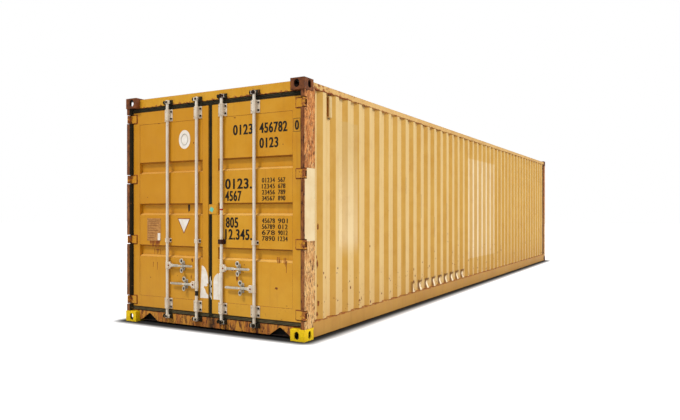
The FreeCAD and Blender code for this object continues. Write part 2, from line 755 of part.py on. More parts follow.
def lock_set():
    """Name, place, handle height and handle side of each rod."""
    inner, outer = ROD_X
    return [
        ("left_outer", -outer, HANDLE_HIGH_Z, 1),
        ("left_inner", -inner, HANDLE_LOW_Z, -1),
        ("right_inner", inner, HANDLE_HIGH_Z, 1),
        ("right_outer", outer, HANDLE_LOW_Z, -1),
    ]


def handle_retainers(sx):
    """The two retainers of one door."""
    return compound([retainer(x, z, side) for _, x, z, side in lock_set() if x * sx > 0])


# ---- every node
nodes = {
    "door_bottom_castings": castings(-1, False),
    "door_top_castings": castings(-1, True),
    "front_bottom_castings": castings(1, False),
    "front_top_castings": castings(1, True),
    "door_post_left": door_post(-1),
    "door_post_right": door_post(1),
    "door_header": door_header(),
    "door_sill": door_sill(),
    "front_posts": front_posts(),
    "front_header": front_header(),
    "front_sill": front_beam(SILL_BOTTOM, CASTING_H),
    "front_wall": front_wall(),
    "top_rails": top_rails(),
    "bottom_rails": compound([bottom_rail(-1), bottom_rail(1)]),
    "side_wall_left": side_wall(-1),
    "side_wall_right": side_wall(1),
    "roof": roof(),
    "floor": floor(),
    "cross_members": cross_members(),
    "side_vents": compound([side_vent(-1), side_vent(1)]),
    "hinge_lugs": hinge_lugs(),
    "cam_keepers": cam_keepers(),
    "overlap_plate": overlap_plate(),
}
for door_name, door_side in (("left_door", -1), ("right_door", 1)):
    nodes[door_name + "_frame"] = door_frame(door_side)
    nodes[door_name + "_panel"] = door_panel(door_side)
    nodes[door_name + "_gasket"] = door_gasket(door_side)
    nodes[door_name + "_hinge_blades"] = hinge_blades(door_side)
    nodes[door_name + "_rod_guides"] = rod_guides(door_side)
    nodes[door_name + "_handle_retainers"] = handle_retainers(door_side)
for rod_name, rod_x, handle_z, handle_side in lock_set():
    nodes[rod_name + "_rod"] = lock_rod(rod_x, handle_side)
    nodes[rod_name + "_handle"] = handle(rod_x, handle_z, handle_side)

os.makedirs("parts", exist_ok=True)
for name, shape in nodes.items():
    solids = shape.Solids
    print(f"{name}: {len(solids)} solids, {sum(solid.Volume for solid in solids) / 1e6:.3f} litres")
    whole = all(solid.isValid() for solid in solids)
    if not (solids and whole):
        raise ValueError(f"{name} is not a whole solid")
    shape.exportStep(f"parts/{name}.step")
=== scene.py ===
"""Looks of the forty-foot freight container: materials, fittings, marks, floor, light, camera."""

import bmesh
import bpy
import math
import random
from mathutils import Matrix, Vector, noise


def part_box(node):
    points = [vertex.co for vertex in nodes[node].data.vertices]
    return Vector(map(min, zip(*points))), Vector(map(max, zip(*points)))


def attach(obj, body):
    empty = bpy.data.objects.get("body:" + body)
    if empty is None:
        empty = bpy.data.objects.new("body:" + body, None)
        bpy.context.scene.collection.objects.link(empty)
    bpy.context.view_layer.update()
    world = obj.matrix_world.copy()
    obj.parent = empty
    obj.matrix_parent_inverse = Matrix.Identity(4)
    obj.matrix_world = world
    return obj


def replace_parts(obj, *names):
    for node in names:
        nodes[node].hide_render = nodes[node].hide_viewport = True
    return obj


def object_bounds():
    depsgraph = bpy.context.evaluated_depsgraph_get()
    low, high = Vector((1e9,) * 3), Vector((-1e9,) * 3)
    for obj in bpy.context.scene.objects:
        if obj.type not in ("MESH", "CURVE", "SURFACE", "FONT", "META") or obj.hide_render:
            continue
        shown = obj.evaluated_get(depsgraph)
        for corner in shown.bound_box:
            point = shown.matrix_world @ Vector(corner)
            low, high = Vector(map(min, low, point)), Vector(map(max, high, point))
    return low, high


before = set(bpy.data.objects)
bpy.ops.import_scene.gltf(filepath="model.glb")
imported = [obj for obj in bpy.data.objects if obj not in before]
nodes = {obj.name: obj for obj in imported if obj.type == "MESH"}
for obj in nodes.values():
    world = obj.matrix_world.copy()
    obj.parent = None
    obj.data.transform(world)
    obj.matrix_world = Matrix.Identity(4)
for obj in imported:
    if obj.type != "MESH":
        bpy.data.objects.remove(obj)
cad_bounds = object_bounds()
CAD = "container_frame"


# ---- places read from the frame
door_low, door_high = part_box("right_door_frame")
DOOR_Y = door_low.y
DOOR_IN_X, DOOR_OUT_X = door_low.x, door_high.x
DOOR_LOW_Z, DOOR_TOP_Z = door_low.z, door_high.z
PANEL_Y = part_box("right_door_panel")[0].y
TROUGH_Y = PANEL_Y + 0.036
POST_IN_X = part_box("door_post_right")[0].x
TOP_RAIL_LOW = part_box("top_rails")[0].z

# ---- ribs of the side walls
WALL_LOW, WALL_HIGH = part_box("side_wall_right")
WALL_OUT_X = WALL_HIGH.x
RIB_DEPTH = 0.036
WALL_IN_X = WALL_OUT_X - RIB_DEPTH
FLAT, SLOPE, CREST = 0.070, 0.068, 0.072
PITCH = FLAT + CREST + 2 * SLOPE
WAVES = int((WALL_HIGH.y - WALL_LOW.y - FLAT) // PITCH)
LEAD = (WALL_HIGH.y - WALL_LOW.y - WAVES * PITCH - FLAT) / 2
FIRST_RIB = WALL_LOW.y + LEAD + FLAT
CRUSHED_Y = (-3.25, -0.8)
CRUSHED_SOFT = 0.05
CRUSH_DEPTH, CRUSH_Z, CRUSH_REACH = 0.035, 0.255, 0.075
# wall rows are closer together below FINE_TOP, where the crushed feet are
FINE_TOP, FINE_ROWS, COARSE_ROWS = 0.62, 22, 16
WALL_THICK = 0.0018
WELD_R = 0.0032
# cavity of a corner casting, from the container's outer faces inward; its walls carry painted shade
CAVITY_X, CAVITY_Y, CAVITY_Z = (0.011, 0.153), (0.011, 0.169), (0.014, 0.106)
# a plywood sheet of the floor, half its width and half its length
SHEET_X, SHEET_Y, SEAM = 0.2915, 1.2, 0.0035
ROD_R = 0.017
ROD_X = {"left_outer": -0.598, "left_inner": -0.172, "right_inner": 0.172, "right_outer": 0.598}
ROD_Y = -6.066
HANDLE_Z = {"left_outer": 0.675, "left_inner": 0.477, "right_inner": 0.675, "right_outer": 0.477}
HANDLE_SIDE = {"left_outer": 1, "left_inner": -1, "right_inner": 1, "right_outer": -1}
DOOR_RODS = {"left_door": ("left_outer", "left_inner"), "right_door": ("right_inner", "right_outer")}


# ---- colours
def srgb(red, green, blue):
    """Linear colour from 0-255 display values."""
    def lin(value):
        value /= 255
        return value / 12.92 if value <= 0.04045 else ((value + 0.055) / 1.055) ** 2.4
    return (lin(red), lin(green), lin(blue), 1.0)


# ---- node graphs
class Graph:
    """One procedural material, built from small named steps."""

    def __init__(self, name):
        self.material = bpy.data.materials.new(name)
        self.material.use_nodes = True
        self.tree = self.material.node_tree
        self.tree.nodes.clear()
        self.shader = self.node("BsdfPrincipled")
        self.put(self.node("OutputMaterial").inputs[0], self.shader.outputs[0])
        self.coords = self.node("TexCoord").outputs["Object"]
        self.x, self.y, self.z = self.split(self.coords)

    def node(self, kind, **settings):
        """New node with its properties set."""
        node = self.tree.nodes.new("ShaderNode" + kind)
        for key, value in settings.items():
            setattr(node, key, value)
        return node

    def put(self, socket, value):
        """Link a socket or set a plain value; three numbers are a 0-255 colour."""
        if isinstance(value, bpy.types.NodeSocket):
            self.tree.links.new(value, socket)
        else:
            is_display = isinstance(value, tuple) and len(value) == 3
            socket.default_value = srgb(*value) if is_display else value

    def split(self, vector):
        """The three components of a vector."""
        node = self.node("SeparateXYZ")
        self.put(node.inputs[0], vector)
        return node.outputs

    def math(self, operation, first, second=0.0):
        node = self.node("Math", operation=operation)
        self.put(node.inputs[0], first)
        self.put(node.inputs[1], second)
        return node.outputs[0]

    def times(self, *values):
        result = values[0]
        for value in values[1:]:
            result = self.math("MULTIPLY", result, value)
        return result

    def plus(self, first, second):
        return self.math("ADD", first, second)

    def most(self, first, second):
        return self.math("MAXIMUM", first, second)

    def size(self, value):
        return self.math("ABSOLUTE", value)

    def ramp(self, value, low, high, to_low=0.0, to_high=1.0):
        """Smooth step of a value between two limits."""
        node = self.node("MapRange", interpolation_type="SMOOTHSTEP")
        for key, number in (("Value", value), ("From Min", low), ("From Max", high),
                            ("To Min", to_low), ("To Max", to_high)):
            self.put(node.inputs[key], number)
        return node.outputs[0]

    def mix(self, factor, first, second):
        node = self.node("Mix", data_type="RGBA")
        for index, value in ((0, factor), (6, first), (7, second)):
            self.put(node.inputs[index], value)
        return node.outputs[2]

    def coat(self, colour, *masks):
        """Lay a colour over what is there, as far as the masks let it through."""
        self.colour = self.mix(self.times(*masks), self.colour, colour)

    def scaled(self, x, y, z, offset=0.0):
        """The object's coordinates, stretched along each axis."""
        node = self.node("Mapping")
        self.put(node.inputs["Vector"], self.coords)
        node.inputs["Scale"].default_value = (x, y, z)
        node.inputs["Location"].default_value = (offset, offset * 0.7, offset * 1.3)
        return node.outputs[0]

    def noise(self, scale, detail=4.0, rough=0.55, vector=None, distort=0.0):
        node = self.node("TexNoise")
        for key, value in (("Vector", self.coords if vector is None else vector), ("Scale", scale),
                           ("Detail", detail), ("Roughness", rough), ("Distortion", distort)):
            self.put(node.inputs[key], value)
        return node.outputs["Fac"]

    def patches(self, low, high, *noise_values):
        """Noise cut to soft-edged patches."""
        return self.ramp(self.noise(*noise_values), low, high)

    def soft_normal(self, radius, samples=4):
        """Rounded corners for the shading only."""
        bevel = self.node("Bevel", samples=samples)
        self.put(bevel.inputs["Radius"], radius)
        return bevel.outputs[0]

    def edges(self, radius):
        """1 along corners, 0 on flat faces."""
        dot = self.node("VectorMath", operation="DOT_PRODUCT")
        self.put(dot.inputs[0], self.soft_normal(radius, 6))
        self.put(dot.inputs[1], self.node("NewGeometry").outputs["True Normal"])
        return self.ramp(dot.outputs["Value"], 0.995, 0.86)

    def normal(self, axis):
        """One component of the face's own direction."""
        return self.split(self.node("NewGeometry").outputs["True Normal"])[axis]

    def facing(self, axis, low, high):
        """1 where a face looks along an axis, either way."""
        return self.ramp(self.size(self.normal(axis)), low, high)

    def between(self, value, low, high, soft):
        """1 inside a band of a coordinate, with soft ends."""
        return self.times(self.ramp(value, low - soft, low + soft),
                          self.ramp(value, high + soft, high - soft))

    def bump(self, height, strength, distance, normal=None):
        node = self.node("Bump")
        for key, value in (("Strength", strength), ("Distance", distance), ("Height", height),
                           ("Normal", normal)):
            if value is not None:
                self.put(node.inputs[key], value)
        return node.outputs[0]

    def finish(self, rough, normal, metallic=0.0):
        for key, value in (("Base Color", self.colour), ("Roughness", rough), ("Normal", normal),
                           ("Metallic", metallic), ("Specular IOR Level", 0.25)):
            self.put(self.shader.inputs[key], value)
        return self.material


RUST_DARK = (74, 36, 20)
RUST = (128, 66, 30)
RUST_LIGHT = (178, 104, 52)


def rust_colour(g):
    """Brown to orange, broken up at two scales."""
    coarse = g.patches(0.38, 0.62, 14, 6, 0.65)
    fine = g.patches(0.35, 0.68, 90, 5, 0.7)
    return g.mix(fine, g.mix(coarse, RUST_DARK, RUST), RUST_LIGHT)


def paint(name, base, deep, pale, spots=0.70, edge=0.55, streaks=0.16, edge_r=0.006, region=None, extra=None,
          spot_scale=9.0):
    """Weathered paint with colour drift, runs of dirt, rust spots and worn edges."""
    g = Graph(name)
    drift = g.patches(0.3, 0.7, 0.9, 3)
    cloud = g.patches(0.3, 0.7, 5.5, 5, 0.6)
    g.colour = g.mix(g.times(drift, 0.6), base, deep)
    g.coat(pale, cloud, 0.35)
    runs = g.noise(1.0, 5, 0.6, g.scaled(26, 26, 0.9))
    g.coat((120, 78, 30), g.ramp(runs, 0.52, 0.74), streaks)
    grain = g.noise(240, 3, 0.6)
    g.coat(deep, g.ramp(grain, 0.45, 0.75), 0.12)
    if extra is not None:
        extra(g)
    pits = g.noise(spot_scale, 9, 0.72, distort=0.3)
    small = g.noise(48, 6, 0.7)
    mask = g.ramp(g.plus(g.times(pits, 0.62), g.times(small, 0.38)), spots - 0.03, spots)
    rim = g.edges(edge_r)
    worn = g.ramp(g.plus(rim, g.noise(17, 7, 0.7)), 1.62 - edge, 1.70 - edge)
    rust = g.most(mask, g.times(worn, rim))
    if region is not None:
        rust = g.most(rust, region(g))
    g.coat((176, 112, 44), g.patches(0.5, 0.7, 6, 5, 0.6), 0.12)
    g.coat(rust_colour(g), rust)
    roughness = g.plus(g.times(rust, 0.35), g.ramp(cloud, 0, 1, 0.44, 0.58))
    height = g.math("SUBTRACT", g.times(grain, 0.25), g.times(rust, 0.9))
    normal = g.bump(height, 0.35, 0.0012, g.soft_normal(0.004))
    return g.finish(roughness, normal)


DOOR = ((208, 150, 30), (198, 134, 20), (220, 168, 58))
WALL = ((206, 158, 68), (194, 142, 50), (216, 174, 92))
RAIL = ((192, 142, 66), (174, 122, 48), (208, 162, 88))
TOP_RAIL = ((212, 168, 98), (198, 150, 76), (226, 190, 126))
ROOF = ((186, 144, 78), (170, 126, 60), (204, 166, 102))


def fold_light(g):
    """Painted highlight on faces that look up, painted shade on faces that look down."""
    level = g.normal(2)
    g.coat((236, 194, 110), g.ramp(level, 0.15, 0.6), 0.55)
    g.coat((112, 62, 6), g.ramp(level, -0.15, -0.6), 0.8)


def door_tone(g):
    """Painted highlight and shade by face direction, then deeper colour on the left door and near the top,
    paler low on the right.
    """
    fold_light(g)
    g.coat((192, 124, 6), g.ramp(g.x, 0.06, -0.06), 0.40)
    g.coat((186, 116, 8), g.ramp(g.z, 0.3, 1.9), 0.22)
    g.coat((214, 164, 70), g.ramp(g.z, 1.0, 0.3), 0.2)


def hinge_rust(g):
    """Rust round the pin end of each hinge."""
    near = g.ramp(g.size(g.x), 1.120, 1.185)
    return g.ramp(g.plus(g.noise(26, 7, 0.7), g.times(near, 0.2)), 0.62, 0.70)


def door_rust(g):
    """Small chips low on the doors and along their joints."""
    low = g.ramp(g.z, 0.62, 0.16)
    spread = g.noise(30, 7, 0.7)
    return g.times(g.ramp(g.plus(spread, g.times(low, 0.10)), 0.735, 0.755), 0.9)


def header_rust(g):
    """Rust creeping up from the header's lower edge."""
    low = g.ramp(g.z, 2.515, 2.474)
    return g.ramp(g.plus(g.noise(24, 7, 0.7), g.times(low, 0.30)), 0.72, 0.80)


def wall_extra(g):
    """Flats that face sideways paler than the slopes (partly sun bleaching, partly painted light), two paler
    rectangles where old panels were, and crushed feet with painted highlights and shadows mixed with bare
    metal and rust.
    """
    # flats that face sideways are paler than the slopes: partly sun bleaching, partly painted light
    outward = g.facing(0, 0.91, 0.97)
    g.coat((224, 198, 142), outward, 0.62)
    # pale upright streaks, only on the flats that carry the painted light
    tall = g.noise(1.0, 4, 0.6, g.scaled(3, 40, 0.5))
    g.coat((234, 214, 168), g.ramp(tall, 0.5, 0.75), 0.25, outward)
    right = g.ramp(g.x, 0.0, 0.1)
    first = g.times(g.between(g.y, -5.37, -4.90, 0.01), g.ramp(g.z, 0.74, 1.0),
                    g.ramp(g.z, 2.27, 2.25), right)
    grey = g.ramp(g.z, 0.9, 2.1)
    tone = g.mix(grey, (246, 230, 192), (206, 176, 118))
    g.coat(tone, first, 0.38)
    second = g.times(g.between(g.y, -0.68, 1.005, 0.012), g.between(g.z, 0.47, 2.19, 0.012), right)
    # the second rectangle shows more on the flats, along with the painted light
    g.coat((246, 232, 200), second, g.ramp(outward, 0, 1, 0.12, 0.48))
    low = g.ramp(g.z, 0.75, 0.2)
    g.coat((196, 144, 74), low, 0.22)
    feet = g.times(g.between(g.y, *CRUSHED_Y, CRUSHED_SOFT), right)
    phase = g.math("MODULO", g.plus(g.y, -FIRST_RIB + 20 * PITCH), PITCH)
    ragged = g.times(g.noise(26, 6, 0.7), 0.05)
    height = g.plus(g.z, ragged)

    def mark(phase_low, phase_high, low, high, soft):
        """A patch of each crushed foot, by place along the wave and height."""
        return g.times(feet, g.between(phase, phase_low, phase_high, 0.006),
                       g.between(height, low, high, soft))

    # crushed feet: a pale patch, partly bare metal and partly painted highlight, and dark brown marks beside
    # and above it, partly rust and partly painted shadow
    g.coat((252, 236, 204), mark(0.062, 0.108, 0.205, 0.305, 0.01), 0.9)
    torn = mark(0.020, 0.058, 0.205, 0.345, 0.012)
    lip = mark(0.050, 0.130, 0.318, 0.345, 0.008)
    g.coat((92, 48, 24), g.most(torn, lip), 0.8)


def wall_rust(g):
    """Chips on the outer flats, more of them low down, and rust at the foot of the crushed ribs."""
    outward = g.ramp(g.size(g.x), 1.19, 1.212)
    low = g.ramp(g.z, 1.15, 0.2)
    chips = g.noise(21, 8, 0.7, g.scaled(1, 1, 0.75))
    amount = g.plus(g.times(low, 0.085), g.times(outward, 0.02))
    crushed = g.times(g.between(g.y, *CRUSHED_Y, CRUSHED_SOFT), g.between(g.z, 0.18, 0.34, 0.04),
                      g.ramp(g.x, 0, 0.1))
    amount = g.plus(amount, g.times(crushed, 0.03))
    return g.ramp(g.plus(chips, amount), 0.722, 0.737)


def rail_rust(g):
    """Line of rust along the top of the bottom rail."""
    top = g.ramp(g.z, 0.158, 0.170)
    return g.times(top, g.patches(0.42, 0.56, 20, 7, 0.7))


def top_rail_rust(g):
    """Rust near the doors and scattered chips beyond."""
    near = g.ramp(g.y, -4.6, -5.95)
    low = g.ramp(g.z, TOP_RAIL_LOW + 0.014, TOP_RAIL_LOW + 0.002)
    amount = g.plus(g.times(near, 0.13), g.times(low, 0.13))
    return g.ramp(g.plus(g.noise(19, 8, 0.72), amount), 0.62, 0.68)


def worn_steel(name, paint_share, tone=0.0):
    """Steel whose paint is mostly gone: orange rust, tan remains and dark upright pits."""
    g = Graph(name)
    upright = g.scaled(60, 60, 16)
    flakes = g.noise(1.0, 8, 0.68, upright, 0.4)
    lower = g.mix(g.patches(0.32, 0.66, 9, 7, 0.7), (184, 124, 66), (226, 178, 112))
    upper = g.mix(g.patches(0.36, 0.62, 13, 7, 0.7), (170, 100, 44), (214, 142, 74))
    ground = g.mix(g.ramp(g.z, 0.6, 1.9), lower, upper)
    tan = g.mix(g.patches(0.4, 0.6, 40, 5), (222, 176, 110), (232, 196, 138))
    high = g.ramp(g.z, 2.45, 0.5, 0.0, 0.07)
    left = g.plus(g.noise(1.0, 8, 0.7, g.scaled(40, 40, 13, 4.0)), high)
    g.colour = g.mix(g.times(g.ramp(left, 0.60 - paint_share, 0.68 - paint_share), 0.7), ground, tan)
    flecks = g.noise(1.0, 8, 0.72, g.scaled(62, 62, 17, 9.0), 0.3)
    g.coat((112, 54, 22), g.ramp(flecks, 0.555, 0.60), 0.85)
    front = g.facing(1, 0.5, 0.9)
    brown = g.mix(g.ramp(left, 0.5, 0.66), (104, 52, 20), (140, 78, 30))
    g.coat(brown, front, 0.9)
    pits = g.ramp(g.plus(flakes, g.times(g.noise(120, 4), 0.12)), 0.63 - tone, 0.67 - tone)
    g.coat((66, 36, 24), pits)
    edge = g.edges(0.007)
    g.coat(RUST_DARK, edge, g.patches(0.35, 0.6, 22, 6))
    # dark olive on the posts' inner sides by the doors: painted shade of the door recess, partly rubber smear
    # from the seals
    inner = g.ramp(g.size(g.x), POST_IN_X + 0.005, POST_IN_X + 0.002)
    recess_shade_and_smear = g.times(inner, g.ramp(g.y, -5.9, -5.95))
    g.coat((50, 46, 32), recess_shade_and_smear, g.patches(0.68, 0.60, 12, 6, 0.7))
    height = g.math("SUBTRACT", g.times(left, 0.5), pits)
    return g.finish(g.ramp(pits, 0, 1, 0.66, 0.9), g.bump(height, 0.5, 0.002, g.soft_normal(0.004)))


def sill_steel():
    """Sill: ochre paint with upright runs of orange and purple-brown rust."""
    g = Graph("sill_steel")
    runs = g.noise(1.0, 7, 0.66, g.scaled(22, 22, 3.2))
    wide = g.noise(1.0, 5, 0.6, g.scaled(7, 7, 2.0, 3.0))
    g.colour = g.mix(g.ramp(wide, 0.40, 0.62), (212, 146, 54), (180, 108, 46))
    tall = g.noise(1.0, 8, 0.7, g.scaled(30, 30, 8.0, 7.0), 0.5)
    g.coat((124, 64, 40), g.ramp(runs, 0.52, 0.62), 0.7)
    g.coat((78, 40, 32), g.ramp(tall, 0.53, 0.59), 0.9)
    g.coat((206, 142, 60), g.patches(0.56, 0.64, 34, 7, 0.7), 0.8)
    middle = g.times(g.between(g.x, -0.03, 0.07, 0.04), g.patches(0.30, 0.55, 20, 6, 0.7))
    g.coat((54, 36, 24), middle)
    # near black on the sill behind the door line: painted shade under the doors
    g.coat((20, 17, 14), g.ramp(g.y, -6.0345, -6.0325))
    top = g.times(g.ramp(g.z, 0.118, 0.131), g.patches(0.4, 0.6, 40, 5))
    g.coat((96, 52, 26), top)
    g.coat(RUST_DARK, g.edges(0.006), 0.6)
    return g.finish(0.78, g.bump(runs, 0.4, 0.002, g.soft_normal(0.004)))


def casting_steel(name, base, deep, wear, specks=0.45):
    """Casting paint, knocked off along its edges, with painted shade inside the cavities."""
    g = Graph(name)
    blot = g.patches(0.36, 0.64, 11, 6, 0.65)
    g.colour = g.mix(blot, base, deep)
    g.coat(RUST, g.patches(0.5, 0.66, 60, 6, 0.7), specks)
    rim = g.edges(0.009)
    worn = g.times(rim, g.patches(0.62 - wear, 0.70 - wear, 28, 6, 0.7))
    g.coat((48, 30, 20), worn)
    half_x, half_y, top = cad_bounds[1]
    # near black on the walls of the cavities: painted shade
    cavity_shade = g.times(g.between(g.size(g.x), half_x - CAVITY_X[1], half_x - CAVITY_X[0], 0.005),
                     g.between(g.size(g.y), half_y - CAVITY_Y[1], half_y - CAVITY_Y[0], 0.005))
    level = g.most(g.between(g.z, *CAVITY_Z, 0.002),
                   g.between(g.z, top - CAVITY_Z[1], top - CAVITY_Z[0], 0.002))
    g.coat((14, 12, 9), cavity_shade, level)
    rough = g.ramp(worn, 0, 1, 0.55, 0.85)
    return g.finish(rough, g.bump(g.noise(70, 5, 0.6), 0.5, 0.0015, g.soft_normal(0.006)))


def zinc(name, base, deep, grime=0.5):
    """Chalky galvanised steel with grime and rust freckles."""
    g = Graph(name)
    cloud = g.patches(0.34, 0.66, 1.0, 6, 0.62, g.scaled(20, 20, 6))
    g.colour = g.mix(cloud, base, deep)
    freckle = g.patches(0.66 - 0.08 * grime, 0.72 - 0.08 * grime, 70, 6, 0.72)
    g.coat((120, 72, 40), freckle, 0.75)
    dirt = g.patches(0.5, 0.68, 1.0, 5, 0.6, g.scaled(60, 60, 2.5, 5.0))
    g.coat((140, 122, 98), dirt, 0.4 * grime)
    rim = g.edges(0.003)
    g.coat((110, 84, 62), rim, g.patches(0.42, 0.62, 60, 5), 0.55)
    rough = g.ramp(cloud, 0, 1, 0.46, 0.62)
    return g.finish(rough, g.bump(g.noise(160, 4), 0.25, 0.0008, g.soft_normal(0.002)), 0.25)


def rubber(name, base, dust, dusty):
    """Weathered seal rubber under a film of dust."""
    g = Graph(name)
    film = g.patches(0.36 - dusty * 0.3, 0.72 - dusty * 0.3, 1.0, 6, 0.65, g.scaled(9, 9, 9))
    g.colour = g.mix(g.times(film, 0.35 + 0.6 * dusty), base, dust)
    crack = g.patches(0.52, 0.7, 130, 5, 0.7)
    g.coat((26, 24, 18), crack, 0.4)
    return g.finish(0.72, g.bump(g.noise(110, 5, 0.6), 0.35, 0.0012))


def plywood():
    """Floor of plywood sheets, worn and stained, with seams."""
    g = Graph("plywood_deck")
    grain = g.noise(1.0, 8, 0.6, g.scaled(60, 3, 60))
    g.colour = g.mix(g.ramp(grain, 0.32, 0.68), (120, 84, 54), (160, 118, 76))
    stain = g.patches(0.45, 0.65, 1.6, 6, 0.6)
    g.coat((78, 56, 40), stain, 0.45)
    across = g.math("PINGPONG", g.plus(g.x, 10.0), SHEET_X)
    along = g.math("PINGPONG", g.plus(g.y, 12.0), SHEET_Y)
    seam = g.most(g.ramp(across, SEAM, 0.002), g.ramp(along, SEAM, 0.002))
    g.coat((30, 22, 16), seam)
    scuff = g.patches(0.6, 0.72, 1.0, 5, 0.6, g.scaled(30, 1.2, 1, 2.0))
    g.coat((52, 40, 32), scuff, 0.4)
    height = g.math("SUBTRACT", g.times(grain, 0.3), seam)
    return g.finish(0.68, g.bump(height, 0.5, 0.002))


def flat(name, base, deep, scale=24.0, rough=0.6, specks=0.0, metallic=0.0):
    """A small piece's own finish: two tones, freckles and a fine grain."""
    g = Graph(name)
    g.colour = g.mix(g.patches(0.34, 0.66, scale, 6, 0.65), base, deep)
    if specks:
        g.coat(RUST, g.patches(0.62, 0.7, scale * 4, 6, 0.7), specks)
    return g.finish(rough, g.bump(g.noise(scale * 8, 4), 0.2, 0.0006), metallic)


M = {
    "door": paint("door_paint", *DOOR, region=door_rust, extra=door_tone),
    "header": paint("header_paint", *DOOR, region=header_rust, edge=0.75),
    "hinge": paint("hinge_paint", *DOOR, spots=0.62, edge=0.95, edge_r=0.011, spot_scale=14.0,
                   region=hinge_rust, extra=door_tone),
    "wall": paint("wall_paint", *WALL, region=wall_rust, extra=wall_extra, edge=0.30, streaks=0.12),
    "rail": paint("bottom_rail_paint", *RAIL, region=rail_rust, edge=0.6),
    "top_rail": paint("top_rail_paint", *TOP_RAIL, region=top_rail_rust, edge=0.7),
    "roof": paint("roof_paint", *ROOF, spots=0.60, edge=0.6, streaks=0.3, spot_scale=3.0),
    "post": worn_steel("post_rust", 0.05, 0.02),
    "front_post": worn_steel("front_post_rust", -0.02, 0.04),
    "keeper": worn_steel("keeper_rust", -0.08, 0.05),
    "sill": sill_steel(),
    "low_casting": casting_steel("bright_casting", (246, 208, 6), (236, 192, 6), 0.10, 0.2),
    "top_casting": casting_steel("brown_casting", (128, 70, 28), (84, 44, 20), 0.16),
    "rod": zinc("rod_zinc", (236, 227, 210), (218, 205, 184)),
    "bracket": zinc("bracket_zinc", (236, 224, 204), (214, 198, 174), 0.8),
    "grip": zinc("grip_zinc", (212, 206, 190), (174, 168, 152), 0.3),
    "seal": rubber("seal_rubber", (52, 48, 34), (84, 78, 54), 0.1),
    "dusty_seal": rubber("dusty_seal_rubber", (62, 58, 42), (116, 104, 72), 0.55),
    "plywood": plywood(),
    "under": flat("underbody", (38, 35, 31), (26, 24, 22), 8.0, 0.85, 0.3),
    "bolt": flat("dark_bolt", (52, 40, 34), (30, 25, 23), 60.0, 0.6, 0.5, 0.3),
    "ink": flat("faded_ink", (22, 18, 10), (36, 28, 14), 30.0, 0.7),
    "vent": zinc("vent_paint", (226, 196, 138), (206, 172, 108), 0.7),
    "black": flat("black_paint", (28, 24, 20), (40, 34, 24), 30.0, 0.6),
    "olive": flat("greasy_olive", (84, 76, 50), (48, 44, 30), 40.0, 0.5, 0.3, 0.1),
    "shade": flat("vent_shade", (168, 108, 40), (128, 76, 28), 30.0, 0.8),
    "brown": flat("brown_rust", (74, 40, 28), (48, 28, 22), 50.0, 0.85, 0.4),
    "white": flat("white_film", (238, 232, 222), (226, 214, 196), 14.0, 0.5, 0.05),
    "cream": flat("cream_film", (226, 204, 160), (220, 194, 146), 6.0, 0.5, 0.08),
    "grey": flat("grey_print", (176, 172, 160), (190, 186, 174), 20.0),
    "tan": flat("tan_plate", (194, 140, 76), (168, 114, 56), 30.0, 0.5, 0.3),
    "umber": flat("umber_line", (140, 92, 50), (120, 76, 40), 30.0),
    "teal": flat("teal_film", (120, 206, 176), (104, 190, 164), 60.0),
    "red": flat("red_mark", (176, 30, 30), (150, 26, 26), 60.0),
    "stain": flat("rust_stain", (150, 78, 30), (112, 56, 28), 26.0, 0.8, 0.4),
    "chip": flat("rust_chip", (96, 48, 28), (130, 66, 34), 60.0, 0.9, 0.3),
}

CAD_LOOKS = {
    "door_bottom_castings": "low_casting", "front_bottom_castings": "top_casting",
    "door_top_castings": "top_casting", "front_top_castings": "top_casting",
    "door_post_left": "post", "door_post_right": "post", "door_header": "header", "door_sill": "sill",
    "front_posts": "front_post", "front_header": "header", "front_sill": "rail", "front_wall": "wall",
    "top_rails": "top_rail", "bottom_rails": "rail", "roof": "roof", "floor": "plywood",
    "cross_members": "under", "side_vents": "vent", "hinge_lugs": "hinge", "cam_keepers": "keeper",
    "overlap_plate": "door", "side_wall_left": "wall", "side_wall_right": "wall",
}
for side in ("left_door", "right_door"):
    for part, look in (("frame", "door"), ("panel", "door"), ("gasket", "seal"), ("hinge_blades", "hinge"),
                       ("rod_guides", "bracket"), ("handle_retainers", "bracket")):
        CAD_LOOKS[f"{side}_{part}"] = look
for rod in ROD_X:
    CAD_LOOKS[rod + "_rod"] = "rod"
    CAD_LOOKS[rod + "_handle"] = "bracket"
for name, look in CAD_LOOKS.items():
    slots = nodes[name].data.materials
    slots.clear()
    slots.append(M[look])


# ---- mesh pieces
SHARP_ANGLE = math.radians(40)


def show(name, mesh, look, body):
    """Put a mesh in the scene with its look, riding on a body."""
    mesh.materials.append(M[look])
    obj = bpy.data.objects.new(name, mesh)
    bpy.context.scene.collection.objects.link(obj)
    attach(obj, body)
    return obj


def circle(count):
    """Angles evenly spaced round a turn."""
    return [2 * math.pi * k / count for k in range(count)]


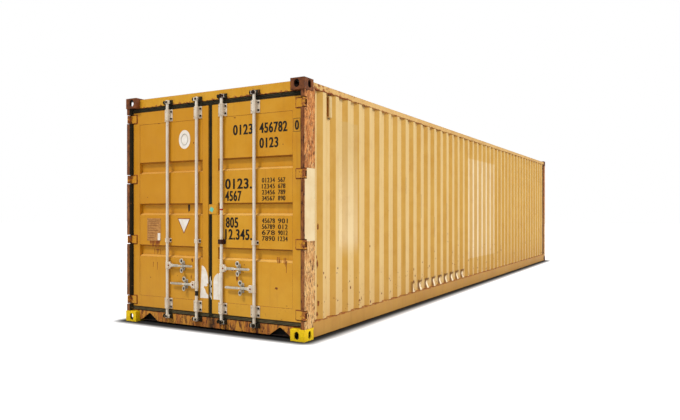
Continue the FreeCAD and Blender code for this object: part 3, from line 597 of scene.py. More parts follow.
class Piece:
    """A mesh gathered from simple shapes in the row frame."""

    def __init__(self):
        self.bm = bmesh.new()

    def box(self, corner, opposite, bevel=0.0, segments=2):
        low, high = (list(map(pick, corner, opposite)) for pick in (min, max))
        size = [high[i] - low[i] for i in range(3)]
        middle = [(high[i] + low[i]) / 2 for i in range(3)]
        place = Matrix.Translation(middle) @ Matrix.Diagonal((*size, 1.0))
        verts = bmesh.ops.create_cube(self.bm, size=1.0, matrix=place)["verts"]
        if bevel:
            edges = list({edge for vert in verts for edge in vert.link_edges})
            bmesh.ops.bevel(self.bm, geom=edges, offset=bevel, segments=segments, affect="EDGES",
                            profile=0.5, clamp_overlap=True)
        return self

    def rod(self, start, end, radius, sides=20, radius_end=None, bevel=0.0):
        start, end = Vector(start), Vector(end)
        along = end - start
        turn = along.to_track_quat("Z", "Y").to_matrix().to_4x4()
        place = Matrix.Translation((start + end) / 2) @ turn
        verts = bmesh.ops.create_cone(
            self.bm, cap_ends=True, segments=sides, radius1=radius,
            radius2=radius if radius_end is None else radius_end, depth=along.length, matrix=place)["verts"]
        if bevel:
            faces = {face for vert in verts for face in vert.link_faces if len(face.verts) > 4}
            edges = list({edge for face in faces for edge in face.edges})
            bmesh.ops.bevel(self.bm, geom=edges, offset=bevel, segments=2, affect="EDGES", clamp_overlap=True)
        return self

    def tube(self, points, radius, sides=8, closed=False):
        """Round bar through a list of points."""
        points = [Vector(point) for point in points]
        count = len(points)
        rings = []
        normal = None
        for i, point in enumerate(points):
            if closed:
                ahead, behind = points[(i + 1) % count], points[i - 1]
            else:
                ahead, behind = points[min(i + 1, count - 1)], points[max(i - 1, 0)]
            tangent = (ahead - behind).normalized()
            if normal is None:
                normal = tangent.orthogonal().normalized()
            normal = (normal - tangent * normal.dot(tangent)).normalized()
            side = tangent.cross(normal)
            rings.append([
                self.bm.verts.new(point + normal * radius * math.cos(a) + side * radius * math.sin(a))
                for a in circle(sides)])
        pairs = zip(rings, rings[1:] + rings[:1]) if closed else zip(rings, rings[1:])
        for first, second in pairs:
            for k in range(sides):
                j = (k + 1) % sides
                self.bm.faces.new((first[k], first[j], second[j], second[k]))
        if not closed:
            self.bm.faces.new(rings[0][::-1])
            self.bm.faces.new(rings[-1])
        return self

    def slab(self, front, back):
        """Closed plate between two outlines."""
        front, back = ([self.bm.verts.new(place) for place in ring] for ring in (front, back))
        self.bm.faces.new(front)
        self.bm.faces.new(back[::-1])
        count = len(front)
        for i in range(count):
            j = (i + 1) % count
            self.bm.faces.new((front[i], back[i], back[j], front[j]))
        return self

    def plate(self, outline, y, thick):
        """Flat piece facing -Y from an (x, z) outline."""
        return self.slab([(x, y - thick, z) for x, z in outline], [(x, y, z) for x, z in outline])

    def side_plate(self, outline, x, thick):
        """Flat piece facing +X from a (y, z) outline."""
        return self.slab([(x + thick, y, z) for y, z in outline], [(x, y, z) for y, z in outline])

    def pin(self, x, z, back, front, radius, sides=20, radius_end=None, bevel=0.0):
        """Round bar along Y."""
        return self.rod((x, back, z), (x, front, z), radius, sides, radius_end, bevel)

    def collar(self, x, low_z, high_z, radius, sides=28, bevel=0.0):
        """Round bar along the axis of a lock rod."""
        return self.rod((x, ROD_Y, low_z), (x, ROD_Y, high_z), radius, sides, bevel=bevel)

    def done(self, name, look, body, slot="yellow_paint", smooth=False):
        bmesh.ops.recalc_face_normals(self.bm, faces=self.bm.faces)
        mesh = bpy.data.meshes.new(name)
        self.bm.to_mesh(mesh)
        self.bm.free()
        if smooth:
            for polygon in mesh.polygons:
                polygon.use_smooth = True
            mesh.set_sharp_from_angle(angle=SHARP_ANGLE)
        return show(name, mesh, look, body)


def bolt(piece, x, y, z, radius, height):
    """Hexagon head on its washer, facing -Y."""
    piece.pin(x, z, y, y - height * 0.3, radius * 1.35, 16)
    piece.pin(x, z, y - height * 0.3, y - height, radius, 6, radius * 0.92)


def ellipse(u, v, half_u, half_v, count):
    """Points round an ellipse."""
    return [(u + half_u * math.cos(a), v + half_v * math.sin(a)) for a in circle(count)]


def blob(x, z, width, height, seed, points=22, rough=0.35):
    """Ragged closed outline round a point."""
    outline = []
    for a in circle(points):
        cos, sin = math.cos(a), math.sin(a)
        reach = 1 + rough * noise.noise((cos * 1.7 + seed * 3.1, sin * 1.7, seed * 1.3))
        reach += rough * 0.6 * noise.noise((cos * 5 + seed, sin * 5, seed * 2.3))
        outline.append((x + width / 2 * reach * cos, z + height / 2 * reach * sin))
    return outline


# ---- side walls, rebuilt fine enough to carry dents

WAVE_SHAPE = ((0.0, RIB_DEPTH), (SLOPE * 0.5, RIB_DEPTH / 2), (SLOPE, 0.0), (SLOPE + CREST / 2, 0.0),
              (SLOPE + CREST, 0.0), (1.5 * SLOPE + CREST, RIB_DEPTH / 2), (2 * SLOPE + CREST, RIB_DEPTH))


def wall_line():
    """(y, depth from the outer flat, wave number) along a side wall."""
    line = [(WALL_LOW.y, RIB_DEPTH, -1)]
    for wave in range(WAVES):
        line += [(FIRST_RIB + wave * PITCH + along, depth, wave) for along, depth in WAVE_SHAPE]
    line.append((WALL_HIGH.y, RIB_DEPTH, WAVES))
    return line


def dent(y, z, depth, wave, sx):
    """Inward push at a point of a wall: soft waviness, and crushed rib feet on part of the right wall."""
    raised = 1 - depth / RIB_DEPTH
    push = 0.0016 * (noise.noise((y * 0.9, z * 0.7, sx * 4.0)) + 0.6) * raised
    push += 0.0015 * raised * max(0.0, noise.noise((y * 3.1, z * 2.3, 7.0 + sx)))
    if sx > 0 and CRUSHED_Y[0] + CRUSHED_SOFT < y < CRUSHED_Y[1] - CRUSHED_SOFT:
        strength = 0.55 + 0.45 * noise.noise((wave * 1.7, 2.0, 5.0))
        centre = CRUSH_Z + 0.02 * noise.noise((wave * 2.3, 8.0, 1.0))
        fall = max(0.0, 1 - abs(z - centre) / CRUSH_REACH)
        push += CRUSH_DEPTH * strength * raised * fall * fall * (3 - 2 * fall)
    return push


def build_wall(sx, name):
    """One side wall as a dented sheet."""
    levels = [WALL_LOW.z + (FINE_TOP - WALL_LOW.z) * k / FINE_ROWS for k in range(FINE_ROWS)]
    levels += [FINE_TOP + (WALL_HIGH.z - FINE_TOP) * k / COARSE_ROWS for k in range(COARSE_ROWS + 1)]
    line = wall_line()
    verts, faces = [], []
    for y, depth, wave in line:
        for z in levels:
            verts.append((sx * (WALL_OUT_X - depth - dent(y, z, depth, wave, sx)), y, z))
    rows = len(levels)
    for i in range(len(line) - 1):
        for k in range(rows - 1):
            a = i * rows + k
            quad = (a, a + rows, a + rows + 1, a + 1)
            faces.append(quad if sx > 0 else quad[::-1])
    mesh = bpy.data.meshes.new(name)
    mesh.from_pydata(verts, [], faces)
    wall = show(name, mesh, "wall", CAD)
    thick = wall.modifiers.new("thickness", "SOLIDIFY")
    thick.thickness = WALL_THICK
    thick.offset = -1.0
    return wall


for sx, side in ((-1, "left"), (1, "right")):
    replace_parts(build_wall(sx, f"{side}_wall_sheet"), f"side_wall_{side}")

# ---- weld beads where the walls meet the rails
for sx, side in ((-1, "left"), (1, "right")):
    path = [(sx * (WALL_OUT_X - depth + 0.0005), y) for y, depth, _ in wall_line()]
    for level, z, look in (("low", WALL_LOW.z + 0.0015, "stain"), ("high", WALL_HIGH.z - 0.0015, "top_rail")):
        Piece().tube([(x, y, z) for x, y in path], WELD_R, 6).done(
            f"{side}_wall_{level}_weld", look, CAD, smooth=True)

# ---- ribbed door seals


def ribbed(piece, start, end, across, width, depth, ribs):
    """Band with raised lips along it, facing -Y; start and end are its middle line at the back."""
    start, end, across = Vector(start), Vector(end), Vector(across)
    steps = ribs * 6
    profile = []
    for k in range(steps + 1):
        t = k / steps
        lift = 0.5 - 0.5 * math.cos(2 * math.pi * ribs * t)
        edge = min(1.0, 0.55 + 10 * t, 0.55 + 10 * (1 - t))
        profile.append(((t - 0.5) * width, depth * (0.62 + 0.38 * lift) * edge))
    rings = []
    rings = []
    count = max(2, int((end - start).length / 0.08))
    for i in range(count + 1):
        middle = start.lerp(end, i / count)
        sag = abs(0.0012 * noise.noise((middle.x * 3, middle.z * 3, width * 40)))
        rings.append([piece.bm.verts.new(middle + across * u + Vector((0, -max(0.0, v - sag), 0)))
                      for u, v in profile])
    for first, second in zip(rings, rings[1:]):
        for k in range(steps):
            piece.bm.faces.new((first[k], first[k + 1], second[k + 1], second[k]))
        piece.bm.faces.new((first[0], second[0], second[steps], first[steps]))
    piece.bm.faces.new(rings[0])
    piece.bm.faces.new(rings[-1][::-1])


for side, sx in (("left_door", -1), ("right_door", 1)):
    low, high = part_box(side + "_gasket")
    inner_x, outer_x = (low.x, high.x) if sx > 0 else (-high.x, -low.x)
    back, depth = high.y, high.y - low.y
    top_z, low_z = (DOOR_TOP_Z + high.z) / 2, (low.z + DOOR_LOW_Z) / 2
    side_x = sx * (DOOR_OUT_X + outer_x) / 2
    band, base = Piece(), Piece()
    ribbed(band, (sx * inner_x, back, top_z), (sx * outer_x, back, top_z), (0, 0, 1),
           high.z - DOOR_TOP_Z, depth, 3)
    ribbed(band, (side_x, back, low.z), (side_x, back, high.z), (1, 0, 0), outer_x - DOOR_OUT_X, depth, 1)
    if sx > 0:
        lip_x, lip_back = DOOR_IN_X + 0.006, DOOR_Y - 0.0015 + depth
        lip_middle = (low.x + lip_x) / 2
        ribbed(band, (lip_middle, lip_back, low.z), (lip_middle, lip_back, high.z), (1, 0, 0),
               lip_x - low.x, depth + 0.002, 3)
    ribbed(base, (sx * inner_x, back, low_z), (sx * outer_x, back, low_z), (0, 0, 1),
           DOOR_LOW_Z - low.z, depth, 3)
    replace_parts(band.done(f"{side}_seal", "seal", side, "seal", True), f"{side}_gasket")
    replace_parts(base.done(f"{side}_low_seal", "dusty_seal", side, "seal", True), f"{side}_gasket")

# ---- bolts on the guide brackets
GUIDE_TOP = (DOOR_TOP_Z - 0.132, DOOR_TOP_Z - 0.001)
GUIDE_LOW = (0.186, 0.304)
GUIDE_MID = (0.932, 0.977)
PLATE_Y = DOOR_Y - 0.005
for side, rods in DOOR_RODS.items():
    heads, dots, pads = Piece(), Piece(), Piece()
    for rod in rods:
        x = ROD_X[rod]
        for low, high in (GUIDE_TOP, GUIDE_LOW):
            third = (high - low) * 0.20
            for z in (low + third, high - third):
                pads.pin(x + 0.043, z, PLATE_Y, PLATE_Y - 0.004, 0.0165, 24, bevel=0.001)
                bolt(heads, x + 0.043, PLATE_Y - 0.004, z, 0.0088, 0.009)
                dots.pin(x - 0.047, z, PLATE_Y, PLATE_Y - 0.003, 0.0052, 12)
            for z in (low + 0.012, high - 0.012):
                ring = [(u, v, z) for u, v in ellipse(x, ROD_Y, 0.0262, 0.0262, 28) if v < PLATE_Y]
                ring.sort(key=lambda p: math.atan2(p[0] - x, ROD_Y - p[1]))
                pads.tube(ring, 0.003, 6)
        z = (GUIDE_MID[0] + GUIDE_MID[1]) / 2
        bolt(heads, x + 0.033, PLATE_Y, z, 0.008, 0.009)
        dots.pin(x - 0.033, z, PLATE_Y, PLATE_Y - 0.003, 0.005, 12)
    heads.done(f"{side}_guide_bolts", "bolt", side, "zinc")
    dots.done(f"{side}_guide_rivets", "bolt", side, "zinc")
    pads.done(f"{side}_guide_pads", "bracket", side, "zinc", True)

# ---- rusted-over middle guide on the third rod: a base, two cheeks and a front
x = ROD_X["right_inner"]
low_z, high_z = GUIDE_MID[0] - 0.002, GUIDE_MID[1] + 0.002
sleeve = Piece()
sleeve.box((x - 0.042, -6.0475, low_z), (x + 0.042, PANEL_Y, high_z), 0.002)
for low_x, high_x, back in ((-0.0265, -0.0185, -6.045), (0.0185, 0.0265, -6.045), (-0.0265, 0.0265, -6.0845)):
    sleeve.box((x + low_x, -6.0925, low_z), (x + high_x, back, high_z), 0.0035, 3)
sleeve.done("right_inner_middle_guide_rust", "brown", "right_door", "zinc", True)

# ---- handle hubs and grips
HUB_FRONT = -6.0885


def beside(piece, rod, near, far, front, back, half, bevel, segments=2):
    """Box at the height of a rod's handle, on the side the handle points to."""
    x, z, s = ROD_X[rod], HANDLE_Z[rod], HANDLE_SIDE[rod]
    piece.box((x + s * near, front, z - half), (x + s * far, back, z + half), bevel, segments)


for rod, x in ROD_X.items():
    z, s = HANDLE_Z[rod], HANDLE_SIDE[rod]
    body = rod + "_lock"
    hub, studs, neck, grip = Piece(), Piece(), Piece(), Piece()
    beside(hub, rod, 0.015, 0.056, -6.0890, -6.0610, 0.039, 0.006, 3)
    beside(hub, rod, 0.046, 0.078, -6.0835, -6.0665, 0.021, 0.004)
    bolt(studs, x + s * 0.036, HUB_FRONT, z, 0.0080, 0.005)
    for step in (-1, 1):
        hub.collar(x, z + step * 0.030, z + step * 0.0405, 0.0208, bevel=0.001)
        studs.pin(x + s * 0.036, z + step * 0.026, HUB_FRONT, HUB_FRONT - 0.002, 0.0042, 12)
    hub.done(rod + "_hub_clamp", "bracket", body, "zinc", True)
    studs.done(rod + "_hub_bolt", "stain", body, "zinc")
    beside(neck, rod, 0.070, 0.175, -6.0820, -6.0680, 0.0145, 0.0045, 3)
    neck.done(rod + "_handle_neck", "grip", body, "zinc", True)
    for k in range(15):
        near = 0.200 + k * 0.0108
        beside(grip, rod, near, near + 0.0066, -6.0835, -6.0655, 0.0130, 0.0030)
    grip.done(rod + "_grip_ribs", "grip", body, "zinc", True)

# ---- handle catches: a hooked eye above each handle and a hasp ring below it
CATCH_OUT = {0.675: 0.216, 0.477: 0.165}
for side, rods in DOOR_RODS.items():
    catch, studs = Piece(), Piece()
    for rod in rods:
        z, s = HANDLE_Z[rod], HANDLE_SIDE[rod]
        cx = ROD_X[rod] + s * CATCH_OUT[z]
        catch.box((cx - 0.022, PLATE_Y, z - 0.050), (cx + 0.022, PANEL_Y, z + 0.052), 0.003)
        for step, reach, wide, tall, bar, lean in ((1, 0.055, 0.0190, 0.0215, 0.0066, 0.004),
                                                   (-1, 0.050, 0.0155, 0.0235, 0.0060, 0.006)):
            lean *= s
            arm = [(cx, PLATE_Y + 0.002, z + step * 0.032), (cx, -6.054, z + step * 0.030),
                   (cx + lean * 0.6, -6.068, z + step * 0.029), (cx + lean, -6.077, z + step * 0.033)]
            catch.tube(arm, 0.0125, 14)
            eye_z = z + step * reach
            eye = [(u, -6.079, v) for u, v in ellipse(cx + lean, eye_z, wide, tall, 24)]
            catch.tube(eye, bar, 10, True)
            # dark disc in each eye: painted shade seen through the hole
            studs.pin(cx + lean, eye_z, -6.0755, -6.0785, 0.0140, 20)
    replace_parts(catch.done(f"{side}_handle_catches", "grip", side, "zinc", True), f"{side}_handle_retainers")
    studs.done(f"{side}_catch_eye_shade", "bolt", side, "zinc")

# ---- rod ends: collars and a front boss on each cam, dark keepers behind them
KEEPER_FRONT = -6.041
CAM_LEVELS = (0.103, 2.501)
for rod, x in ROD_X.items():
    s = HANDLE_SIDE[rod]
    for level, z in zip(("low", "high"), CAM_LEVELS):
        look = "bracket" if x < 0 else ("olive" if level == "low" else "brown")
        end = Piece()
        for start in (z - 0.021, z + 0.015):
            end.collar(x, start, start + 0.006, 0.0204, bevel=0.001)
        end.pin(x, z, ROD_Y, HUB_FRONT, 0.0195, 28, 0.0175, 0.002)
        end.pin(x, z, HUB_FRONT + 0.0035, HUB_FRONT, 0.0215, 32, 0.0205, 0.001)
        end.box((x + s * 0.012, -6.0765, z - 0.0175), (x + s * 0.0385, -6.0555, z + 0.0175), 0.005, 3)
        end.done(f"{rod}_{level}_cam_cap", look, rod + "_lock", "zinc", True)
        nub = Piece()
        bolt(nub, x, HUB_FRONT + 0.0005, z, 0.0080, 0.0040)
        nub.done(f"{rod}_{level}_cam_bolt", "bolt", rod + "_lock", "zinc")
    teeth = Piece()
    for z in CAM_LEVELS:
        for step in (-1, 1):
            near, far = sorted((x + step * 0.0465, x + step * 0.0535))
            teeth.rod((near, -6.067, z), (far, -6.067, z), 0.017, 20, bevel=0.001)
            teeth.box((near, -6.0665, z - 0.020), (far, KEEPER_FRONT, z + 0.020), 0.0015)
            for rise in (0.020, -0.020):
                bolt(teeth, x + step * 0.030, KEEPER_FRONT, z + rise, 0.0060, 0.004)
    teeth.done(f"{rod}_keeper_teeth", "keeper", CAD, "rusty_steel")

# ---- marks on the rods
for rod, low_z, high_z, kind, look in (("left_inner", 0.360, 0.412, "tape", "black"),
                                       ("right_inner", 1.288, 1.304, "mark", "red")):
    Piece().collar(ROD_X[rod], low_z, high_z, ROD_R + 0.0005, 32).done(
        f"{rod}_rod_{kind}", look, rod + "_lock", "zinc", True)

# ---- plate, films and numbers on the doors
LIFT = 0.0008
THIN, TORN_THICK, STREAK_THICK = 0.0006, 0.0007, 0.0005


def rectangle(x0, x1, z0, z1):
    return [(x0, z0), (x1, z0), (x1, z1), (x0, z1)]


def film(name, look, body, outline, y=PANEL_Y, thick=LIFT):
    """One thin piece stuck on a door."""
    Piece().plate(outline, y, thick).done(name, look, body)


DATA_FRONT = PANEL_Y - 0.003
DATA_FOOT = 0.941
Piece().box((-0.932, DATA_FRONT, 0.942), (-0.720, PANEL_Y, 1.198), 0.001).done(
    "data_plate", "tan", "left_door")
lines = Piece()
for z, width in ((1.178, 0.16), (1.160, 0.13), (1.142, 0.17), (1.118, 0.15), (1.085, 0.12),
                 (1.060, 0.16), (1.030, 0.11), (1.004, 0.09), (0.978, 0.10)):
    lines.plate(rectangle(-0.918, -0.918 + width, z - 0.003, z + 0.003), DATA_FRONT, 0.0004)
lines.done("data_plate_rules", "umber", "left_door")
film("data_plate_film", "white", "left_door", rectangle(-0.768, -0.728, 0.950, 1.030), DATA_FRONT)
rivets = Piece()
for x in (-0.924, -0.728):
    for z in (0.950, 1.190):
        rivets.pin(x, z, DATA_FRONT, PANEL_Y - 0.0055, 0.0045, 12, 0.003)
rivets.done("data_plate_rivets", "bolt", "left_door", "zinc")

drips = Piece()
random.seed(4)
for k in range(9):
    x = -0.885 + k * 0.017 + random.uniform(-0.004, 0.004)
    drop = random.uniform(0.045, 0.100)
    width = random.uniform(0.006, 0.012)
    drips.plate([(x - width, DATA_FOOT), (x + width, DATA_FOOT), (x + width * 0.6, DATA_FOOT - drop * 0.6),
                 (x, DATA_FOOT - drop), (x - width * 0.7, DATA_FOOT - drop * 0.5)], PANEL_Y, STREAK_THICK)
for x, z, drop in ((-0.852, 0.848, 0.075), (-0.812, 0.848, 0.095), (-0.795, 0.848, 0.05),
                   (-0.760, 0.848, 0.085), (-0.838, 0.700, 0.06), (-0.775, 0.700, 0.09)):
    drips.plate([(x - 0.0045, z), (x + 0.0045, z), (x + 0.0020, z - drop), (x - 0.0015, z - drop)],
                TROUGH_Y if z > 0.8 else PANEL_Y, STREAK_THICK)
drips.done("data_plate_drips", "stain", "left_door")

film("triangle_film_edge", "stain", "left_door",
     [(-0.469, 1.200), (-0.282, 1.200), (-0.3755, 1.027)], thick=THIN)
film("triangle_film", "white", "left_door",
     [(-0.455, 1.192), (-0.296, 1.192), (-0.3755, 1.045)], PANEL_Y - THIN, THIN)
OVAL = (-0.367, 2.074)
film("oval_film", "white", "left_door", ellipse(*OVAL, 0.0825, 0.104, 40))
ring = [(u, PANEL_Y - LIFT, v) for u, v in ellipse(*OVAL, 0.046, 0.060, 40)]
Piece().tube(ring, 0.0045, 6, True).done("oval_film_ring", "grey", "left_door", smooth=True)

plate_low, plate_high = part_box("overlap_plate")
cx, cz = plate_low.x + 0.040, (plate_low.z + plate_high.z) / 2 - 0.004
film("diamond_film", "teal", "right_door",
     [(cx - 0.030, cz - 0.006), (cx + 0.006, cz - 0.032), (cx + 0.030, cz + 0.008), (cx - 0.010, cz + 0.032)],
     plate_low.y, THIN)
film("black_smear", "black", "left_door", blob(-0.333, 1.325, 0.030, 0.105, 3, rough=0.25), TROUGH_Y)


def number(text, x0, x1, z0, z1, name, weight=0.016, y=PANEL_Y, bold=0.0032):
    """Plain digits fitted to a box on the right door."""
    curve = bpy.data.curves.new(name, "FONT")
    curve.body = text
    curve.offset = weight
    curve.space_character = 1.12
    curve.space_character = 1.12
    source = bpy.data.objects.new(name + "_text", curve)
    bpy.context.scene.collection.objects.link(source)
    bpy.context.view_layer.update()
    mesh = bpy.data.meshes.new_from_object(source.evaluated_get(bpy.context.evaluated_depsgraph_get()))
    bpy.data.objects.remove(source)
    xs, ys = ([v.co[i] for v in mesh.vertices] for i in (0, 1))
    sx, sz = (x1 - x0) / (max(xs) - min(xs)), (z1 - z0) / (max(ys) - min(ys))
    verts, faces = [], []
    for k, shift in enumerate((0.0, -bold, bold)):
        first = len(verts)
        verts += [(x0 + (x - min(xs)) * sx + shift, y - LIFT - 0.0001 * k, z0 + (z - min(ys)) * sz)
                  for x, z in zip(xs, ys)]
        faces += [[first + i for i in face.vertices] for face in mesh.polygons]
    bpy.data.meshes.remove(mesh)
    mesh = bpy.data.meshes.new(name)
    mesh.from_pydata(verts, [], faces)
    show(name, mesh, "ink", "right_door")


number("0123", 0.310, 0.560, 2.077, 2.185, "row_one_left")
number("456782", 0.649, 0.985, 2.077, 2.185, "row_one_right")
number("0", 1.080, 1.122, 2.085, 2.180, "row_one_last", y=DOOR_Y)
box_line = Piece()
for x0, x1, z0, z1 in ((1.062, 1.066, 2.066, 2.200), (1.136, 1.140, 2.066, 2.200),
                       (1.062, 1.140, 2.066, 2.070), (1.062, 1.140, 2.196, 2.200)):
    box_line.plate(rectangle(x0, x1, z0, z1), DOOR_Y, STREAK_THICK)
box_line.done("row_one_frame", "black", "right_door")
for text, x0, x1, z0, z1, row in (
        ("0123", 0.649, 0.876, 1.925, 2.030, "two"), ("0123.", 0.206, 0.550, 1.512, 1.622, "three"),
        ("4567", 0.206, 0.415, 1.384, 1.494, "four"), ("805", 0.214, 0.372, 1.104, 1.214, "five"),
        ("12.345.", 0.206, 0.550, 0.978, 1.090, "six")):
    number(text, x0, x1, z0, z1, f"row_{row}")
for top, pitch, far, letters, rows in (
        (1.575, 0.0615, 0.962, "ab",
         (("01234", "567"), ("12345", "678"), ("23456", "789"), ("34567", "890"))),
        (1.161, 0.0600, 0.990, "cd",
         (("45678", "901"), ("56789", "012"), ("678", "9012"), ("7890", "1234")))):
    for k, texts in enumerate(rows):
        z = top - pitch * k
        for text, x0, x1, letter in zip(texts, (0.680, 0.878), (0.836, far), letters):
            number(text, x0, x1, z - 0.004, z + 0.044, f"small_row_{k}_{letter}", 0.0, bold=0.0024)
# ---- torn white film either side of the middle joint
left_film = [(-0.140, 0.335), (-0.118, 0.688)]
for k in range(13):
    a = math.pi / 2 * (1 - k / 12)
    left_film.append((-0.118 + 0.090 * math.cos(a), 0.500 + 0.188 * math.sin(a)))
left_film += [(-0.050, 0.488), (-0.034, 0.478), (-0.062, 0.462), (-0.080, 0.470), (-0.092, 0.455),
              (-0.070, 0.430), (-0.060, 0.400), (-0.045, 0.385), (-0.028, 0.372), (-0.026, 0.338)]
film("torn_film_left", "white", "left_door", left_film, DOOR_Y, TORN_THICK)
STILE_X = 0.1070
FILM_FOOT = 0.331
right_film = [(0.045, FILM_FOOT)]
for k in range(13):
    a = math.pi - math.pi / 2 * k / 12
    right_film.append((0.145 + 0.100 * math.cos(a), 0.520 + 0.102 * math.sin(a)))
right_film += [(0.160, 0.622), (0.160, FILM_FOOT)]
torn = Piece()
torn.plate([(min(x, STILE_X), z) for x, z in right_film], DOOR_Y, TORN_THICK)
torn.plate([(max(x, STILE_X + 0.001), z) for x, z in right_film if x >= STILE_X] +
           [(STILE_X + 0.001, FILM_FOOT), (STILE_X + 0.001, 0.598)], PANEL_Y, TORN_THICK)
torn.done("torn_film_right", "white", "right_door")
scraps = Piece()
for k, (x, z, w, h) in enumerate((
        (0.002, 0.545, 0.022, 0.05), (0.010, 0.505, 0.026, 0.05), (-0.004, 0.470, 0.018, 0.04),
        (0.008, 0.430, 0.024, 0.07), (0.002, 0.380, 0.022, 0.06), (0.012, 0.345, 0.018, 0.03))):
    scraps.plate(blob(x, z, w, h, k, rough=0.5), DOOR_Y + 0.003, 0.0012)
scraps.done("torn_film_scraps", "white", "right_door")

# ---- rust chips on the doors, and drips by the handles

DOOR_CHIPS = {
    "left_door": ((-0.752, 2.28, 0.020, 0.016), (-0.255, 0.745, 0.020, 0.045), (-0.270, 0.560, 0.010, 0.045),
                  (-0.700, 0.300, 0.012, 0.012), (-0.880, 0.520, 0.010, 0.014), (-0.845, 0.210, 0.010, 0.030),
                  (-0.235, 2.03, 0.014, 0.020), (-0.470, 0.560, 0.007, 0.010), (-0.930, 1.44, 0.008, 0.012),
                  (-0.770, 0.842, 0.060, 0.010), (-0.690, 0.840, 0.024, 0.008)),
    "right_door": ((0.845, 2.34, 0.018, 0.026), (0.330, 2.262, 0.026, 0.010), (1.020, 2.305, 0.020, 0.012),
                   (0.360, 0.575, 0.022, 0.052), (0.410, 0.610, 0.008, 0.010), (0.440, 0.640, 0.010, 0.012),
                   (0.330, 0.660, 0.020, 0.020), (0.300, 0.655, 0.022, 0.018), (0.455, 0.720, 0.012, 0.012),
                   (0.855, 0.500, 0.034, 0.026), (0.105, 1.000, 0.008, 0.016), (0.935, 1.950, 0.010, 0.012),
                   (0.700, 0.250, 0.008, 0.008), (0.980, 0.330, 0.010, 0.008)),
}
scuffs = Piece()
for x, z, tall in (
        (0.862, 0.790, 0.055), (0.872, 0.780, 0.070), (0.886, 0.785, 0.060), (0.893, 0.775, 0.050),
        (0.944, 0.780, 0.060), (0.956, 0.775, 0.075), (0.966, 0.765, 0.085), (0.973, 0.720, 0.120)):
    scuffs.plate([(x, z - tall / 2), (x + 0.0055, z - tall / 2 + 0.004), (x + 0.0070, z + tall / 2),
                  (x + 0.001, z + tall / 2)], PANEL_Y, THIN)
scuffs.done("right_door_scuffs", "stain", "right_door")
for side, marks in DOOR_CHIPS.items():
    chips = Piece()
    for k, (x, z, w, h) in enumerate(marks):
        chips.plate(blob(x, z, w, h, k * 1.7 + 1, 16, 0.6), PANEL_Y, THIN)
    chips.done(f"{side}_chips", "chip", side)

# ---- painted shadow round the hinge blades, in a rust-stain colour
for side, sx in (("left_door", -1), ("right_door", 1)):
    low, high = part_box(side + "_hinge_blades")
    blade_shadow = Piece()
    inner = (low.x if sx > 0 else -high.x) - 0.009
    for k in range(4):
        z = low.z + 0.045 + k * (high.z - low.z - 0.090) / 3
        outline = []
        for a in circle(40):
            reach = 1 + 0.12 * noise.noise((math.cos(a) * 3 + k, math.sin(a) * 3, sx * 2.0))
            u = max(-1.0, min(1.0, 1.35 * math.cos(a))) * reach
            v = max(-1.0, min(1.0, 1.35 * math.sin(a))) * reach
            px = (inner + DOOR_OUT_X) / 2 + u * (DOOR_OUT_X - inner) / 2
            outline.append((sx * min(px, DOOR_OUT_X), z + v * 0.0540))
        blade_shadow.plate(outline if sx > 0 else outline[::-1], DOOR_Y, THIN)
    blade_shadow.done(f"{side}_hinge_blade_shadow", "stain", side)

# ---- blank label on the right post, and the wall's own marks
POST_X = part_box("door_post_right")[1].x
Piece().side_plate([(-6.042, 0.983), (-5.886, 0.983), (-5.886, 1.704), (-6.042, 1.704), (-6.042, 1.595),
                    (-6.080, 1.595), (-6.080, 1.005), (-6.042, 1.005)], POST_X, 0.0008).done(
    "post_label", "cream", CAD)

wall_chips = Piece()
random.seed(11)
for wave in range(WAVES):
    y = FIRST_RIB + wave * PITCH + SLOPE
    for _ in range(random.choice((2, 3, 4)) if wave < 26 else random.choice((0, 1, 2))):
        z = 0.2 + abs(random.gauss(0, 0.30))
        yy = y + random.uniform(0.006, CREST - 0.006)
        size = random.uniform(0.007, 0.026)
        if z < 2.3:
            outline = blob(yy, z, size, size * random.uniform(0.6, 1.6), wave + z, 12, 0.6)
            wall_chips.side_plate(outline, WALL_OUT_X - dent(yy, z, 0.0, wave, 1), THIN)
wall_chips.done("right_wall_chips", "chip", CAD)

scratches = Piece()
for y, z, tall in ((-3.02, 1.35, 0.34), (-3.58, 1.62, 0.22), (-2.46, 1.05, 0.30), (-1.90, 1.28, 0.26),
                   (-1.34, 0.92, 0.20), (3.96, 1.85, 0.16), (4.30, 2.35, 0.10)):
    wave = round((y - FIRST_RIB - SLOPE) / PITCH)
    edge_y = FIRST_RIB + SLOPE + wave * PITCH + 0.010
    outline = [(edge_y + 0.0035 * math.sin(i * 1.9), z + tall * (i / 9 - 0.5)) for i in range(10)]
    outline += [(a + 0.0050, b) for a, b in outline[::-1]]
    scratches.side_plate(outline, WALL_OUT_X - dent(edge_y, z, 0.0, wave, 1) + 0.0004, THIN)
scratches.done("right_wall_scratches", "umber", CAD)

corner_marks = Piece()
for y, z, wide, tall, seed in ((-5.772, 1.12, 0.016, 0.060, 2), (-5.780, 0.74, 0.020, 0.075, 5),
                               (-5.788, 0.81, 0.014, 0.036, 8), (-5.768, 0.34, 0.022, 0.060, 3),
                               (-5.782, 0.23, 0.026, 0.050, 4), (-5.776, 0.52, 0.012, 0.026, 9)):
    corner_marks.side_plate(blob(y, z, wide, tall, seed, 14, 0.5), 0.0, 0.0008)
for vertex in corner_marks.bm.verts:
    up_slope = min(1.0, max(0.0, (vertex.co.y - FIRST_RIB) / SLOPE))
    vertex.co.x += WALL_IN_X + (WALL_OUT_X - WALL_IN_X) * up_slope
corner_marks.done("right_wall_corner_marks", "stain", CAD)

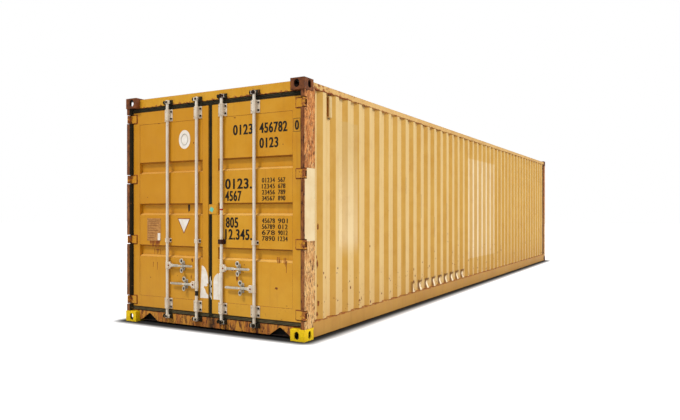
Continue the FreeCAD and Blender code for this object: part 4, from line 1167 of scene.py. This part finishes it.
# ---- vent covers
vent_low, vent_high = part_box("side_vents")
for sx, side in ((-1, "left"), (1, "right")):
    x = sx * vent_high.x
    feet, studs, vent_shadow_piece = Piece(), Piece(), Piece()
    middle = (vent_low.y + vent_high.y) / 2
    for z, step in ((vent_low.z, -0.022), (vent_high.z, 0.022)):
        feet.box((sx * WALL_IN_X, vent_low.y + 0.006, z),
                 (x - sx * 0.022, vent_high.y - 0.006, z + step), 0.003)
        for y in (middle - 0.015, middle + 0.015):
            studs.rod((x - sx * 0.024, y, z + step / 2), (x - sx * 0.018, y, z + step / 2), 0.0065, 16)
    feet.done(f"{side}_vent_feet", "vent", CAD, smooth=True)
    studs.done(f"{side}_vent_bolts", "bolt", CAD, "zinc")
    # orange-brown sheet on the vent cover's -Y side: painted shadow of the cover
    vent_shadow_piece.box((sx * (WALL_IN_X + 0.0005), vent_low.y - 0.0012, vent_low.z + 0.012),
                  (sx * (WALL_IN_X + 0.020), vent_low.y + 0.0004, vent_high.z - 0.012))
    vent_shadow_piece.done(f"{side}_vent_painted_shadow", "shade", CAD, "underside")

# ---- floor, light and camera
FAR = 60
# contact shadow on the studio floor: from just under the container's edge outward
SHADOW_INSET, SHADOW_NEAR, SHADOW_FAR = 0.02, 0.03, 0.24
stage = bpy.data.meshes.new("studio_floor")
stage.from_pydata([(-FAR, -FAR, 0), (FAR, -FAR, 0), (FAR, FAR, 0), (-FAR, FAR, 0)], [], [(0, 1, 2, 3)])
g = Graph("studio_floor")
out_x, out_y = (
    g.most(g.math("SUBTRACT", g.size(place), (cad_bounds[1][i] - cad_bounds[0][i]) / 2 - SHADOW_INSET), 0.0)
    for i, place in enumerate((g.x, g.y)))
away = g.math("SQRT", g.plus(g.times(out_x, out_x), g.times(out_y, out_y)))
shade = g.math("POWER", g.ramp(away, SHADOW_NEAR, SHADOW_FAR), 1.3)
seen = g.node("LightPath").outputs["Is Camera Ray"]
for key, value in (
        ("Base Color", g.mix(shade, (0.003, 0.003, 0.003, 1), (0.55, 0.55, 0.56, 1))),
        ("Emission Color", g.mix(shade, (0.0, 0.0, 0.0, 1), (0.95, 0.95, 0.95, 1))),
        ("Emission Strength", g.times(seen, 0.75)), ("Roughness", 0.95)):
    g.put(g.shader.inputs[key], value)
g.shader.inputs["Roughness"].default_value = 0.95
stage.materials.append(g.material)
floor = bpy.data.objects.new("studio_floor", stage)
bpy.context.scene.collection.objects.link(floor)

scene = bpy.context.scene
scene.view_settings.view_transform = "Standard"
world = bpy.data.worlds.new("studio")
scene.world = world
world.use_nodes = True
sky = world.node_tree
soft = sky.nodes["Background"]
soft.inputs["Strength"].default_value = 1.0
way = sky.nodes.new("ShaderNodeTexCoord")
split = sky.nodes.new("ShaderNodeSeparateXYZ")
sky.links.new(way.outputs["Generated"], split.inputs[0])
rise = sky.nodes.new("ShaderNodeValToRGB")
rise.color_ramp.elements[0].position = 0.0
rise.color_ramp.elements[0].color = (0.26, 0.26, 0.26, 1)
rise.color_ramp.elements[1].position = 0.75
rise.color_ramp.elements[1].color = (1.0, 1.02, 1.05, 1)
sky.links.new(split.outputs[2], rise.inputs[0])
sky.links.new(rise.outputs[0], soft.inputs["Color"])
plain = sky.nodes.new("ShaderNodeBackground")
plain.inputs["Color"].default_value = (1.0, 1.0, 1.0, 1)
path = sky.nodes.new("ShaderNodeLightPath")
blend = sky.nodes.new("ShaderNodeMixShader")
sky.links.new(path.outputs["Is Camera Ray"], blend.inputs[0])
sky.links.new(soft.outputs[0], blend.inputs[1])
sky.links.new(plain.outputs[0], blend.inputs[2])
sky.links.new(blend.outputs[0], sky.nodes["World Output"].inputs[0])


def sun(name, direction, strength, angle, colour):
    """Soft far light shining along a direction."""
    light = bpy.data.lights.new(name, "SUN")
    light.energy = strength
    light.angle = math.radians(angle)
    light.color = colour
    obj = bpy.data.objects.new(name, light)
    obj.rotation_euler = Vector(direction).to_track_quat("-Z", "Y").to_euler()
    scene.collection.objects.link(obj)


sun("key", (-1.0, -0.42, -0.75), 1.75, 24, (1.0, 0.98, 0.94))
sun("front", (0.50, 1.0, -1.65), 1.78, 6, (1.0, 0.98, 0.95))

camera = bpy.data.cameras.new("camera")
camera.sensor_width = 36.0
camera.lens = 33.54
camera.shift_x = 0.045
camera.shift_y = 0.0031
camera.clip_end = 200.0
view = bpy.data.objects.new("camera", camera)
view.location = (4.4153, -11.3649, 1.2690)
view.rotation_euler = (math.radians(90), 0.0, math.radians(30.781))
scene.collection.objects.link(view)
scene.camera = view
